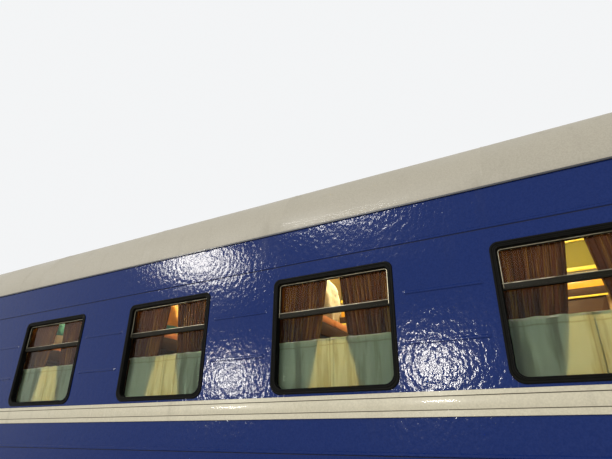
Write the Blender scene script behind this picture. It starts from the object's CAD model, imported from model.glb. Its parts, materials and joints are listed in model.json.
"""Looks of a four-berth sleeping coach: body, windows, curtains, rooms, bogies and the photographed view."""

import json
import logging
from collections.abc import Callable, Iterable, Sequence
from dataclasses import dataclass, field
from enum import IntEnum
from functools import cache
from math import cos, pi, radians, sin
from typing import Protocol

import bmesh
import bpy
import numpy as np
from mathutils import Matrix, Vector

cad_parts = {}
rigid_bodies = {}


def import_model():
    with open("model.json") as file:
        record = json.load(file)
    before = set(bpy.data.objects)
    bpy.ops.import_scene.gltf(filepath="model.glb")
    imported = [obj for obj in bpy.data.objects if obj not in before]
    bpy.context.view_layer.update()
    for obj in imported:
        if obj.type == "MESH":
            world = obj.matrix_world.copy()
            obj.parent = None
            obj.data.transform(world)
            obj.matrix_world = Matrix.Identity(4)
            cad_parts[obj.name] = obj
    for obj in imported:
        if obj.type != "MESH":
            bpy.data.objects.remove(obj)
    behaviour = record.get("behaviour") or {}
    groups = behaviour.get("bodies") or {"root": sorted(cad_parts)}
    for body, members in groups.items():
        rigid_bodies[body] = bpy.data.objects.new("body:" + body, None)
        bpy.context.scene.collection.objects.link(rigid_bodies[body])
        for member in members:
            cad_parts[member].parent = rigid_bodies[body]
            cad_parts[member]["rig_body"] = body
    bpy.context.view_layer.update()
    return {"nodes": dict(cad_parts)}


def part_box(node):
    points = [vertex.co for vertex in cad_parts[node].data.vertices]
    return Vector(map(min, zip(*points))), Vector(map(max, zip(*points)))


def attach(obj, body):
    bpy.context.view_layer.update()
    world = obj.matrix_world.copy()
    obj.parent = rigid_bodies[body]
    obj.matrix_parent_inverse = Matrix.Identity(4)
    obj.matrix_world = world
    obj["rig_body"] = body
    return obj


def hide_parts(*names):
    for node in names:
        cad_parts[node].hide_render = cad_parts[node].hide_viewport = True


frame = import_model()
LOG = logging.getLogger("coach")
Array = np.ndarray
Colour = tuple[float, float, float]
Numbers = Sequence[float]
Output = bpy.types.NodeSocket
Value = Output | Colour | float


SIDE_FACE = 1.5525
HALF_LENGTH = 11.8
LAMPS_ACROSS = -0.45


class Axis(IntEnum):
    """An axis of the row frame: along the coach, across it, and up."""

    ALONG = 0
    ACROSS = 1
    UP = 2


class Side(IntEnum):
    """A side of the body, by the sign of its place across the coach."""

    COMPARTMENTS = -1
    CORRIDOR = 1


class End(IntEnum):
    """An end of the coach, by the sign of its place along it."""

    FRONT = 1
    REAR = -1


# Materials


def shade(colour: Colour, share: float) -> Colour:
    """A share of a colour's light."""
    return tuple(share * part for part in colour)


class Shader:
    """A material while it is wired: each method adds one node and gives back its output."""

    def __init__(self, name: str) -> None:
        """Starts an empty material, with its place read from Object coordinates.

        Args:
            name: Name of the material.
        """
        self.material = bpy.data.materials.new(name)
        self.material.use_nodes = True
        self.tree = self.material.node_tree
        self.tree.nodes.clear()
        self.place = self.node("ShaderNodeTexCoord").outputs["Object"]

    def node(self, kind: str, sockets: dict[str | int, Value] | None = None, **settings: object) -> bpy.types.Node:
        """Adds a node.

        Args:
            kind: Type of the node.
            sockets: What goes into its inputs: another node's output, a colour or a plain number.
            settings: The node's own settings.

        Returns:
            The node.
        """
        made = self.tree.nodes.new(kind)
        for key, value in settings.items():
            setattr(made, key, value)
        for key, value in (sockets or {}).items():
            socket = made.inputs[key]
            if isinstance(value, Output):
                self.tree.links.new(value, socket)
            else:
                socket.default_value = (*value, 1.0) if socket.type == "RGBA" else value
        return made

    def stretched(self, scale: Colour, place: Output | None = None) -> Output:
        """Coordinates scaled by their own factor on each axis."""
        return self.node("ShaderNodeMapping", {"Vector": place or self.place, "Scale": scale}).outputs["Vector"]

    def noise(self, scale: float, detail: float = 2.0, place: Output | None = None, rough: float = 0.5) -> Output:
        """Cloudy noise from 0 to 1, with about scale lumps to the metre."""
        sockets = {"Vector": place or self.place, "Scale": scale, "Detail": detail, "Roughness": rough}
        return self.node("ShaderNodeTexNoise", sockets).outputs["Fac"]

    def cells(self, scale: float) -> Output:
        """Distance to the nearest point of a scattered set, with about scale points to the metre."""
        return self.node("ShaderNodeTexVoronoi", {"Vector": self.place, "Scale": scale}).outputs["Distance"]

    def axes(self, place: Output | None = None) -> tuple[Output, ...]:
        """The three numbers of a place."""
        return tuple(self.node("ShaderNodeSeparateXYZ", {0: place or self.place}).outputs)

    def sum(self, operation: str, first: Value, second: Value = 0.0, clamp: bool = False) -> Output:
        """One step of arithmetic."""
        return self.node("ShaderNodeMath", {0: first, 1: second}, operation=operation, use_clamp=clamp).outputs[0]

    def level(self, value: Value, low: float, high: float, start: float = 0.0, stop: float = 1.0) -> Output:
        """Carries a number from the range low to high over to the range start to stop, smoothly."""
        sockets = {"Value": value, "From Min": low, "From Max": high, "To Min": start, "To Max": stop}
        return self.node("ShaderNodeMapRange", sockets, interpolation_type="SMOOTHSTEP").outputs["Result"]

    def blend(self, share: Value, first: Value, second: Value) -> Output:
        """One colour giving way to another."""
        return self.node("ShaderNodeMix", {0: share, 6: first, 7: second}, data_type="RGBA").outputs[2]

    def relief(self, height: Value, depth: float, under: Output | None = None) -> Output:
        """A normal from a height between 0 and 1 over a depth in metres, on top of another normal."""
        sockets = {"Strength": 1.0, "Distance": depth, "Height": height} | ({"Normal": under} if under else {})
        return self.node("ShaderNodeBump", sockets).outputs["Normal"]

    def surface(self, **sockets: Value) -> Output:
        """A Principled surface, its sockets named by words joined with underscores."""
        named = {key.replace("_", " "): value for key, value in sockets.items()}
        return self.node("ShaderNodeBsdfPrincipled", named).outputs[0]

    def done(self, surface: Output) -> bpy.types.Material:
        """Ends the material with its surface."""
        self.node("ShaderNodeOutputMaterial", {"Surface": surface})
        return self.material


class Finish(Protocol):
    """Anything that wires a material of its own."""

    def made(self) -> bpy.types.Material:
        """Wires the material."""


@dataclass(frozen=True)
class Paint:
    """Sprayed paint on steel: orange peel, slow waves of the sheet, runs of dirt and dust at the foot."""

    name: str
    colour: Colour
    roughness: float = 0.3
    coat: float = 0.0
    gloss: float = 0.35
    waves: float = 0.0
    brushing: float = 0.0
    dirt: float = 0.15
    grime: Colour = (0.10, 0.085, 0.07)
    dust_top: float = 1.6
    dust: float = 0.2
    grooves: tuple[float, ...] = ()
    lumps: float = 52.0
    tall: float = 0.45

    def made(self) -> bpy.types.Material:
        """Wires the paint.

        Returns:
            The material.
        """
        s = Shader(self.name)
        height = s.axes()[2]
        cloud = s.noise(1.3, 4.0)
        runs = s.noise(7.0, 5.0, s.stretched((1.0, 1.0, 0.10)), 0.65)
        specks = s.noise(90.0, 3.0)
        dirty = s.sum("MULTIPLY", s.level(runs, 0.5, 0.8), s.level(cloud, 0.35, 0.7, 0.3, 1.0))
        dusty = s.level(s.sum("ADD", height, s.sum("MULTIPLY", cloud, 0.5)), self.dust_top + 0.25, 0.5)
        share = s.sum("ADD", s.sum("MULTIPLY", dirty, self.dirt), s.sum("MULTIPLY", dusty, self.dust), True)
        for line in self.grooves:
            off = s.sum("ABSOLUTE", s.sum("SUBTRACT", height, line))
            share = s.sum("MAXIMUM", share, s.level(off, 0.0015, 0.0045, 0.92, 0.0))
        pale = tuple(min(1.0, part * 1.12 + 0.004) for part in self.colour)
        tint = s.blend(share, s.blend(s.level(specks, 0.3, 0.7), self.colour, pale), self.grime)
        rough = s.sum("ADD", s.level(cloud, 0.3, 0.7, self.roughness * 0.8, self.roughness * 1.2), share, True)
        normal = s.relief(s.noise(260.0, 1.0), 0.00004)
        if self.brushing:
            normal = s.relief(s.noise(self.lumps, 3.0, s.stretched((1.0, 1.0, self.tall))), self.brushing, normal)
        if self.waves:
            normal = s.relief(s.noise(5.0, 2.0, s.stretched((0.6, 1.0, 1.0))), self.waves, normal)
        coat = {"Coat_Weight": self.coat, "Coat_Roughness": 0.05, "Coat_Normal": normal}
        body = s.surface(Base_Color=tint, Roughness=rough, Normal=normal, Specular_IOR_Level=self.gloss, **coat)
        return s.done(body)


@dataclass(frozen=True)
class Iron:
    """Cast or rolled iron under old paint: coarse skin, brake dust and rust in patches."""

    name: str
    colour: Colour
    rust: float = 0.3
    roughness: float = 0.62
    grain: float = 0.0006

    def made(self) -> bpy.types.Material:
        """Wires the iron.

        Returns:
            The material.
        """
        s = Shader(self.name)
        cloud = s.noise(17.0, 6.0, rough=0.7)
        grain = s.noise(150.0, 4.0)
        patch = s.sum("MULTIPLY", s.level(cloud, 0.55, 0.75), self.rust)
        dust = s.sum("MULTIPLY", s.level(s.noise(2.2, 3.0), 0.4, 0.75), 0.35)
        tint = s.blend(dust, s.blend(patch, self.colour, (0.085, 0.045, 0.028)), (0.115, 0.095, 0.078))
        rough = s.level(grain, 0.3, 0.7, self.roughness - 0.1, self.roughness + 0.14)
        return s.done(s.surface(Base_Color=tint, Roughness=rough, Normal=s.relief(grain, self.grain), Metallic=0.15))


@dataclass(frozen=True)
class Metal:
    """Bare metal, drawn or turned: fine lines along one axis, scuffs and a dull film."""

    name: str
    colour: Colour
    roughness: float = 0.28
    lines: Colour = (4.0, 160.0, 160.0)
    film: float = 0.25

    def made(self) -> bpy.types.Material:
        """Wires the metal.

        Returns:
            The material.
        """
        s = Shader(self.name)
        drawn = s.noise(6.0, 3.0, s.stretched(self.lines))
        cloud = s.noise(9.0, 4.0)
        dull = s.sum("MULTIPLY", s.level(cloud, 0.45, 0.75), self.film)
        rough = s.sum("ADD", s.level(drawn, 0.3, 0.7, self.roughness * 0.7, self.roughness * 1.3), dull, True)
        tint = s.blend(dull, self.colour, shade(self.colour, 0.45))
        return s.done(s.surface(Base_Color=tint, Metallic=1.0, Roughness=rough, Normal=s.relief(drawn, 0.00006)))


@dataclass(frozen=True)
class Rubber:
    """Black weathered rubber with a greyish bloom and a fine moulded skin."""

    name: str
    colour: Colour = (0.012, 0.012, 0.013)
    roughness: float = 0.42
    bloom: float = 0.2
    gloss: float = 0.22

    def made(self) -> bpy.types.Material:
        """Wires the rubber.

        Returns:
            The material.
        """
        s = Shader(self.name)
        cloud = s.noise(11.0, 4.0)
        skin = s.noise(320.0, 2.0)
        share = s.sum("MULTIPLY", s.level(cloud, 0.45, 0.75), self.bloom)
        rough = s.level(cloud, 0.3, 0.7, self.roughness - 0.08, self.roughness + 0.12)
        tint, normal = s.blend(share, self.colour, (0.05, 0.048, 0.045)), s.relief(skin, 0.0001)
        return s.done(s.surface(Base_Color=tint, Roughness=rough, Normal=normal, Specular_IOR_Level=self.gloss))


@dataclass(frozen=True)
class Glass:
    """Clear pane with a faint green body and a film of dust."""

    name: str
    colour: Colour = (0.93, 0.97, 0.95)
    ripple: float = 0.0002
    index: float = 1.17

    def made(self) -> bpy.types.Material:
        """Wires the glass.

        Returns:
            The material.
        """
        s = Shader(self.name)
        film = s.level(s.noise(3.0, 4.0), 0.4, 0.8, 0.0, 0.05)
        wavy = s.relief(s.noise(2.2, 1.0), self.ripple)
        body = s.surface(Base_Color=self.colour, Transmission_Weight=1.0, Roughness=film, IOR=self.index, Normal=wavy)
        return s.done(body)


@dataclass(frozen=True)
class Cloth:
    """Woven cloth read from its own map in metres: threads both ways, stripes, and light that comes through."""

    name: str
    colour: Colour
    stripe: Colour
    stripe_width: float = 0.02
    stripe_share: float = 0.3
    weave: float = 900.0
    through: float = 0.35
    glow: Colour = (0.8, 0.5, 0.15)
    glow_share: float = 0.25
    creases: float = 0.0
    hem: float = 0.0
    seam: float = 0.0
    sheen: float = 0.2

    def made(self) -> bpy.types.Material:
        """Wires the cloth.

        Returns:
            The material.
        """
        s = Shader(self.name)
        place = s.node("ShaderNodeUVMap", uv_map="cloth").outputs[0]
        across, along, _ = s.axes(place)
        threads = s.sum("SINE", s.sum("MULTIPLY", across, self.weave * 2 * pi))
        wefts = s.sum("SINE", s.sum("MULTIPLY", along, self.weave * 2 * pi))
        weave = s.level(s.sum("MULTIPLY", threads, wefts), -1.0, 1.0)
        stripes = s.noise(1.0 / self.stripe_width, 3.0, s.stretched((1.0, 0.02, 1.0), place), 0.7)
        share = s.sum("MULTIPLY", s.level(stripes, 0.48, 0.66), self.stripe_share)
        slub = s.level(s.noise(60.0, 3.0, s.stretched((1.0, 0.15, 1.0), place)), 0.3, 0.7, 0.82, 1.0)
        worn = s.blend(slub, shade(self.colour, 0.7), s.blend(share, self.colour, self.stripe))
        if self.creases:
            crease = s.noise(1.0, 5.0, s.stretched((9.0, 0.9, 1.0), place), 0.62)
            worn = s.blend(s.level(crease, 0.40, 0.52, self.creases, 0.0), worn, shade(self.colour, 0.30))
        if self.hem:
            line = s.sum("ABSOLUTE", s.sum("SUBTRACT", along, self.hem))
            worn = s.blend(s.level(line, 0.002, 0.008, 0.75, 0.0), worn, shade(self.colour, 0.35))
        if self.seam:
            line = s.sum("ABSOLUTE", s.sum("SUBTRACT", s.sum("FRACT", across), self.seam))
            worn = s.blend(s.level(line, 0.002, 0.006, 0.85, 0.0), worn, shade(self.colour, 0.2))
        nap = {"Sheen_Weight": self.sheen, "Sheen_Roughness": 0.4, "Specular_IOR_Level": 0.2}
        body = s.surface(Base_Color=worn, Roughness=0.85, Normal=s.relief(weave, 0.0004), **nap)
        lit = s.node("ShaderNodeBsdfTranslucent", {"Color": s.blend(self.glow_share, worn, self.glow)})
        return s.done(s.node("ShaderNodeMixShader", {0: self.through, 1: body, 2: lit.outputs[0]}).outputs[0])


@dataclass(frozen=True)
class Upholstery:
    """Seat cloth or linen on a pad: weave, broad folds of shade and sewn channels across the pad."""

    name: str
    colour: Colour
    second: Colour
    channels: float = 0.0
    roughness: float = 0.85

    def made(self) -> bpy.types.Material:
        """Wires the upholstery.

        Returns:
            The material.
        """
        s = Shader(self.name)
        weave = s.cells(700.0)
        cloud = s.noise(8.0, 4.0)
        tint = s.blend(s.level(cloud, 0.35, 0.7), self.colour, self.second)
        normal = s.relief(weave, 0.0005)
        if self.channels:
            across = s.sum("MULTIPLY", s.axes()[1], pi / self.channels)
            seam = s.level(s.sum("ABSOLUTE", s.sum("SINE", across)), 0.0, 0.25)
            normal = s.relief(seam, 0.006, normal)
        else:
            normal = s.relief(s.noise(14.0, 3.0), 0.01, normal)
        nap = {"Sheen_Weight": 0.3, "Sheen_Roughness": 0.4}
        return s.done(s.surface(Base_Color=tint, Roughness=self.roughness, Normal=normal, **nap))


@dataclass(frozen=True)
class Laminate:
    """Pressed plastic laminate with a faint printed grain and a satin skin."""

    name: str
    colour: Colour
    grain: Colour
    share: float = 0.35
    roughness: float = 0.34
    along: Colour = (18.0, 18.0, 1.2)
    gloss: float = 0.5
    coat: float = 0.15

    def made(self) -> bpy.types.Material:
        """Wires the laminate.

        Returns:
            The material.
        """
        s = Shader(self.name)
        grain = s.noise(1.6, 6.0, s.stretched(self.along), 0.6)
        pores = s.noise(400.0, 2.0)
        share = s.sum("MULTIPLY", s.level(grain, 0.4, 0.68), self.share)
        rough = s.level(s.noise(5.0, 3.0), 0.3, 0.7, self.roughness - 0.05, self.roughness + 0.1)
        tint, normal = s.blend(share, self.colour, self.grain), s.relief(pores, 0.00005)
        coat = {"Coat_Weight": self.coat, "Coat_Roughness": 0.12, "Specular_IOR_Level": self.gloss}
        return s.done(s.surface(Base_Color=tint, Roughness=rough, Normal=normal, **coat))


@dataclass(frozen=True)
class Tread:
    """Running tyre: bright where the rail polishes it, dull and rusty on web and hub."""

    name: str
    centre: tuple[float, float]
    bright_radius: float = 0.466

    def made(self) -> bpy.types.Material:
        """Wires the wheel's steel about its own axle.

        Returns:
            The material.
        """
        s = Shader(self.name)
        along, _, up = s.axes()
        dx, dz = s.sum("SUBTRACT", along, self.centre[0]), s.sum("SUBTRACT", up, self.centre[1])
        radius = s.sum("SQRT", s.sum("ADD", s.sum("MULTIPLY", dx, dx), s.sum("MULTIPLY", dz, dz)))
        bright = s.level(radius, self.bright_radius, self.bright_radius + 0.004)
        rust = s.blend(s.level(s.noise(9.0, 5.0), 0.4, 0.7), (0.05, 0.043, 0.038), (0.088, 0.055, 0.038))
        body = s.surface(
            Base_Color=s.blend(bright, rust, (0.62, 0.61, 0.60)),
            Metallic=s.level(bright, 0.0, 1.0, 0.25, 1.0),
            Roughness=s.level(bright, 0.0, 1.0, 0.72, 0.26),
            Normal=s.relief(s.noise(30.0, 2.0), 0.0005),
        )
        return s.done(body)


@dataclass(frozen=True)
class Glow:
    """Lit lamp cover: prismatic plastic that shines by itself."""

    name: str
    colour: Colour
    power: float

    def made(self) -> bpy.types.Material:
        """Wires the lamp cover.

        Returns:
            The material.
        """
        s = Shader(self.name)
        prism = s.relief(s.cells(140.0), 0.001)
        even = s.level(s.noise(4.0, 2.0), 0.2, 0.8, self.power * 0.9, self.power * 1.1)
        glow = {"Emission_Color": self.colour, "Emission_Strength": even}
        return s.done(s.surface(Base_Color=self.colour, Roughness=0.25, Normal=prism, **glow))


BLUE = Paint(
    "blue_gloss_paint", (0.0004, 0.0135, 0.100), 0.13, 0.28, 0.08, waves=0.0009, brushing=0.0026, dirt=0.12,
    grime=(0.010, 0.012, 0.030), dust_top=1.5, dust=0.12, grooves=(3.2025, 1.7105, 1.4545, 1.2045),
    lumps=27.0, tall=0.70,
)
CREAM = Paint(
    "cream_band_paint", (0.50, 0.455, 0.33), 0.3, 0.2, 0.3, brushing=0.0004, dirt=0.3, grime=(0.10, 0.085, 0.055),
    dust_top=1.2, dust=0.0, grooves=(1.9915, 2.0765),
)
ROOF_GREY = Paint(
    "roof_grey_paint", (0.36, 0.33, 0.26), 0.52, 0.03, 0.25, waves=0.0012, brushing=0.0007, dirt=0.22,
    grime=(0.17, 0.15, 0.12), dust_top=1.0, dust=0.0,
)
GUTTER_DARK = Paint("gutter_dark_paint", (0.035, 0.035, 0.04), 0.4, 0.1)
CHASSIS = Iron("chassis_black_iron", (0.022, 0.022, 0.024), 0.35)
BOGIE_GREY = Iron("bogie_grey_iron", (0.075, 0.075, 0.078), 0.45)
CAST = Iron("cast_black_iron", (0.03, 0.029, 0.029), 0.4, 0.66, 0.001)
SPRING = Iron("spring_black_iron", (0.018, 0.018, 0.02), 0.25, 0.5, 0.0003)
ALUMINIUM = Metal("frame_aluminium_metal", (0.78, 0.79, 0.80), 0.24)
BEAD = Metal("frame_bead_metal", (0.34, 0.31, 0.22), 0.38, film=0.6)
STEEL = Metal("rail_steel_metal", (0.62, 0.61, 0.59), 0.22, (120.0, 120.0, 4.0))
BUFFER = Metal("buffer_steel_metal", (0.36, 0.35, 0.34), 0.4, (60.0, 60.0, 60.0), 0.5)
SEAL = Rubber("seal_rubber_skin", (0.005, 0.005, 0.004), 0.50, 0.06, 0.035)
DARK_FRAME = Rubber("frame_dark_skin", (0.012, 0.011, 0.007), 0.42, 0.10, 0.05)
GANGWAY = Rubber("gangway_rubber_skin", (0.02, 0.02, 0.021), 0.6, 0.5)
PANE = Glass("window_glass_clear")
WALL = Laminate("wall_laminate_sheet", (0.46, 0.36, 0.17), (0.34, 0.24, 0.10), 0.5)
DOOR = Laminate("door_laminate_sheet", (0.050, 0.024, 0.010), (0.030, 0.014, 0.007), 0.6, 0.55, gloss=0.15, coat=0.0)
CEILING = Laminate("ceiling_laminate_sheet", (0.72, 0.68, 0.58), (0.62, 0.57, 0.46), 0.3)
LINO = Laminate("floor_lino_sheet", (0.14, 0.10, 0.07), (0.24, 0.19, 0.13), 0.6, 0.4, (30.0, 30.0, 30.0))
BERTH = Laminate("berth_brown_sheet", (0.055, 0.028, 0.013), (0.035, 0.018, 0.009), 0.6)
TABLE = Laminate("table_top_sheet", (0.60, 0.50, 0.36), (0.46, 0.36, 0.22), 0.5, 0.22, (3.0, 20.0, 20.0))
SALMON = Laminate("edge_salmon_sheet", (0.62, 0.25, 0.12), (0.54, 0.20, 0.09), 0.4, 0.3)
YELLOW = Laminate("lip_yellow_sheet", (0.90, 0.78, 0.10), (0.84, 0.70, 0.08), 0.3, 0.3)
ORANGE = Laminate("panel_orange_sheet", (0.90, 0.47, 0.035), (0.80, 0.38, 0.03), 0.4, 0.3)
OLIVE = Laminate("panel_olive_sheet", (0.19, 0.18, 0.030), (0.15, 0.14, 0.025), 0.4, 0.6, gloss=0.12, coat=0.0)
SEAT = Upholstery("berth_fabric_cloth", (0.22, 0.05, 0.025), (0.15, 0.035, 0.02), 0.31)
TICKING = Upholstery("upper_berth_ticking", (0.58, 0.40, 0.10), (0.46, 0.30, 0.07), 0.035)
LINEN = Upholstery("linen_white_cloth", (0.82, 0.79, 0.70), (0.70, 0.68, 0.60))
TEAL = Upholstery("bundle_teal_cloth", (0.05, 0.30, 0.30), (0.04, 0.22, 0.24))
AMBER = Upholstery("bundle_amber_cloth", (0.80, 0.40, 0.05), (0.66, 0.30, 0.04))
BROWN_CLOTH = Cloth(
    "curtain_brown_cloth", (0.036, 0.008, 0.003), (0.20, 0.11, 0.014), stripe_width=0.012, stripe_share=0.9,
    weave=700.0, through=0.36, glow=(0.50, 0.20, 0.03), glow_share=0.12, creases=0.85, sheen=0.02,
)
WHITE_CLOTH = Cloth(
    "curtain_white_cloth", (0.34, 0.43, 0.29), (0.40, 0.47, 0.30), stripe_width=0.05, through=0.6,
    glow=(0.80, 0.74, 0.30), glow_share=0.6, creases=0.75, hem=0.050, seam=0.48,
)
LAMP_WARM = Glow("lamp_warm_cover", (1.0, 0.78, 0.42), 4.0)
LAMP_RED = Glow("lamp_red_lens", (0.5, 0.02, 0.015), 0.25)


@cache
def dressed(finish: Finish) -> bpy.types.Material:
    """The material of a finish, made once."""
    return finish.made()


# Meshes


SHARPEST = 0.0002


def joined(*parts: Array | float) -> Array:
    """Points from their numbers, each given as an array or as one value for all of them."""
    return np.stack(np.broadcast_arrays(*parts), -1)


def lattice(rows: int, columns: int, wrap_rows: bool = False, wrap_columns: bool = False) -> Array:
    """Corner numbers of the quads between the points of a grid.

    Args:
        rows: Number of rows of points.
        columns: Number of points in a row.
        wrap_rows: Joins the last row to the first.
        wrap_columns: Joins the last column to the first.

    Returns:
        One row of four point numbers for each quad.
    """
    index = np.arange(rows * columns).reshape(rows, columns)
    if wrap_rows:
        index = np.vstack([index, index[:1]])
    if wrap_columns:
        index = np.hstack([index, index[:, :1]])
    return np.stack([index[:-1, :-1], index[:-1, 1:], index[1:, 1:], index[1:, :-1]], -1).reshape(-1, 4)


def outline(width: float, height: float, foot_r: float, top_r: float, steps: int) -> Array:
    """Rounded rectangle about the origin: four quarter circles in turn, joined by their straight sides.

    Args:
        width: Size across.
        height: Size up.
        foot_r: Radius of the two lower corners.
        top_r: Radius of the two upper corners.
        steps: Points in each quarter circle.

    Returns:
        The points in order, as (across, up).
    """
    turn = np.linspace(0.0, pi / 2, steps)
    corners = []
    quarters = ((1, -1, foot_r, -pi / 2), (1, 1, top_r, 0.0), (-1, 1, top_r, pi / 2), (-1, -1, foot_r, pi))
    for across, up, radius, start in quarters:
        radius, angle = max(radius, SHARPEST), turn + start
        x = across * (width / 2 - radius) + radius * np.cos(angle)
        corners.append(joined(x, up * (height / 2 - radius) + radius * np.sin(angle)))
    return np.concatenate(corners)


def facing(points: Array, axis: Axis) -> Array:
    """Points given as (two sizes across, one along the axis), turned so that the last runs along the axis."""
    return np.roll(points, axis + 1, axis=-1)


def seen_along(corner: Numbers, axis: Axis) -> Array:
    """A corner given in the row frame, as (two sizes across, one along the axis)."""
    return np.roll(np.asarray(corner, float), -1 - axis)


def stacked(start: Array, stop: Array, steps: Iterable[tuple[float, float, float]], points: int) -> Array:
    """Rounded rectangles in planes one behind the other.

    Args:
        start: Lowest corner, its last number along the stack.
        stop: Highest corner.
        steps: For each plane, how far its rectangle is drawn in, the corners' radius, and its place.
        points: Points in each quarter circle.

    Returns:
        The loops of points.
    """
    loops = []
    for inset, radius, along in steps:
        width, height = (stop - start)[:2] - 2 * inset
        flat = outline(width, height, radius, radius, points) + (start[:2] + stop[:2]) / 2
        loops.append(joined(*flat.T, along))
    return np.array(loops)


@dataclass
class Skin:
    """Surfaces of one piece, gathered as arrays of points and faces before they become a mesh."""

    points: list[Array] = field(default_factory=list)
    faces: list[Array] = field(default_factory=list)
    tones: list[Array] = field(default_factory=list)
    maps: list[Array] = field(default_factory=list)
    count: int = 0

    def add(self, points: Array, faces: Array, tone: int | Array = 0, map_points: Array | None = None) -> None:
        """Adds faces that stand on points of their own.

        Args:
            points: Places of the points.
            faces: Three or four point numbers for each face.
            tone: Number of the finish, for all the faces or for each one.
            map_points: Place of each point on the flat cloth, in metres.
        """
        flat = np.asarray(points, float).reshape(-1, 3)
        if faces.shape[1] == 3:
            faces = np.hstack([faces, np.full((len(faces), 1), -1 - self.count)])
        self.points.append(flat)
        self.faces.append(faces + self.count)
        self.tones.append(np.broadcast_to(np.asarray(tone, np.int32), (len(faces),)))
        self.maps.append(np.zeros((len(flat), 2)) if map_points is None else map_points.reshape(-1, 2))
        self.count += len(flat)

    def grid(self, surface: Array, around: bool = False, closed: bool = False, tone: int | Array = 0) -> None:
        """Adds a surface given as rows of points; around joins each row's ends, closed the last row to the first."""
        self.add(surface, lattice(*surface.shape[:2], closed, around), tone)

    def lid(self, loop: Array, tone: int = 0) -> None:
        """Closes a loop of points with triangles to its middle."""
        index = np.arange(len(loop))
        self.add(np.vstack([loop, loop.mean(0)]), joined(index, np.roll(index, -1), len(loop)), tone)

    def loft(self, loops: Array, tone: int | Array = 0) -> None:
        """Adds a closed body from a stack of closed loops, with a lid on the first and the last.

        Args:
            loops: The loops of points.
            tone: Number of the finish, for the body or for each of its side faces.
        """
        self.grid(loops, around=True, tone=tone)
        for end in (0, -1):
            self.lid(loops[end], int(np.ravel(tone)[end]))

    def block(
        self,
        low: Numbers,
        high: Numbers,
        edge: float = 0.004,
        corner: float = 0.0,
        axis: Axis = Axis.UP,
        tone: int = 0,
    ) -> None:
        """Adds a rounded block: a rounded rectangle carried along an axis, drawn in by a quarter circle at both ends.

        Args:
            low: A corner.
            high: The corner opposite to it.
            edge: Radius of the edges round both ends.
            corner: Radius of the rectangle's own corners, at least the edge's.
            axis: The axis that the rectangle is carried along.
            tone: Number of the finish.
        """
        start, stop = seen_along(np.minimum(low, high), axis), seen_along(np.maximum(low, high), axis)
        size = stop - start
        edge = min(edge, 0.49 * size.min())
        corner = min(max(corner, edge), 0.49 * size[:2].min())
        turn = np.linspace(0.0, pi / 2, 3)
        drawn = edge * (1 - np.sin(turn))
        risen = edge * (1 - np.cos(turn))
        inset = np.concatenate([drawn, drawn[::-1]])
        along = np.concatenate([start[2] + risen, stop[2] - risen[::-1]])
        self.loft(facing(stacked(start, stop, zip(inset, corner - inset, along), 4), axis), tone)

    def turned(
        self,
        profile: Sequence[Numbers],
        centre: Numbers,
        axis: Axis,
        segments: int,
        tone: int | Array = 0,
    ) -> None:
        """Adds a turned body: a profile of (place along the axis, radius) carried once round the axis.

        Args:
            profile: The profile from one pole or rim to the other.
            centre: Where the axis has its zero.
            axis: The axis of turning.
            segments: Number of steps round it.
            tone: Number of the finish, for the body or for each face.
        """
        along, radius = np.asarray(profile, float).T[..., None]
        angle = np.arange(segments) * 2 * pi / segments
        surface = facing(joined(radius * np.cos(angle), radius * np.sin(angle), along), axis)
        self.grid(surface + np.asarray(centre, float), around=True, tone=tone)

    def bolts(self, places: Iterable[Numbers], axis: Axis, out: int, size: float, tone: int = 0) -> None:
        """Adds six-sided bolt heads on their washers, standing out along an axis.

        Args:
            places: Foot of each bolt.
            axis: The axis that they stand out along.
            out: 1 or -1, for the way they point.
            size: Height of a head, and radius of its washer.
            tone: Number of the finish.
        """
        head = np.array([(0, 0), (0, 1), (0.2, 1), (0.2, 0.8), (0.85, 0.8), (1, 0.6), (1, 0)]) * (out * size, size)
        for place in places:
            self.turned(head, place, axis, 6, tone)

    def tube(self, path: Array, radius: float, sides: int = 8, tone: int = 0) -> None:
        """Adds a round bar along a path: a circle set square to the path at each of its points.

        Args:
            path: Points of the bar's middle line, which never runs upright.
            radius: The bar's radius.
            sides: Number of steps round the bar.
            tone: Number of the finish.
        """
        ahead = np.gradient(path, axis=0)
        ahead /= np.linalg.norm(ahead, axis=1, keepdims=True)
        first = np.cross(ahead, (0.0, 0.0, 1.0))
        first /= np.linalg.norm(first, axis=1, keepdims=True)
        second = np.cross(ahead, first)
        angle = np.arange(sides) * 2 * pi / sides
        circle = first[:, None] * np.cos(angle)[:, None] + second[:, None] * np.sin(angle)[:, None]
        self.loft(path[:, None] + radius * circle, tone)

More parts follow.
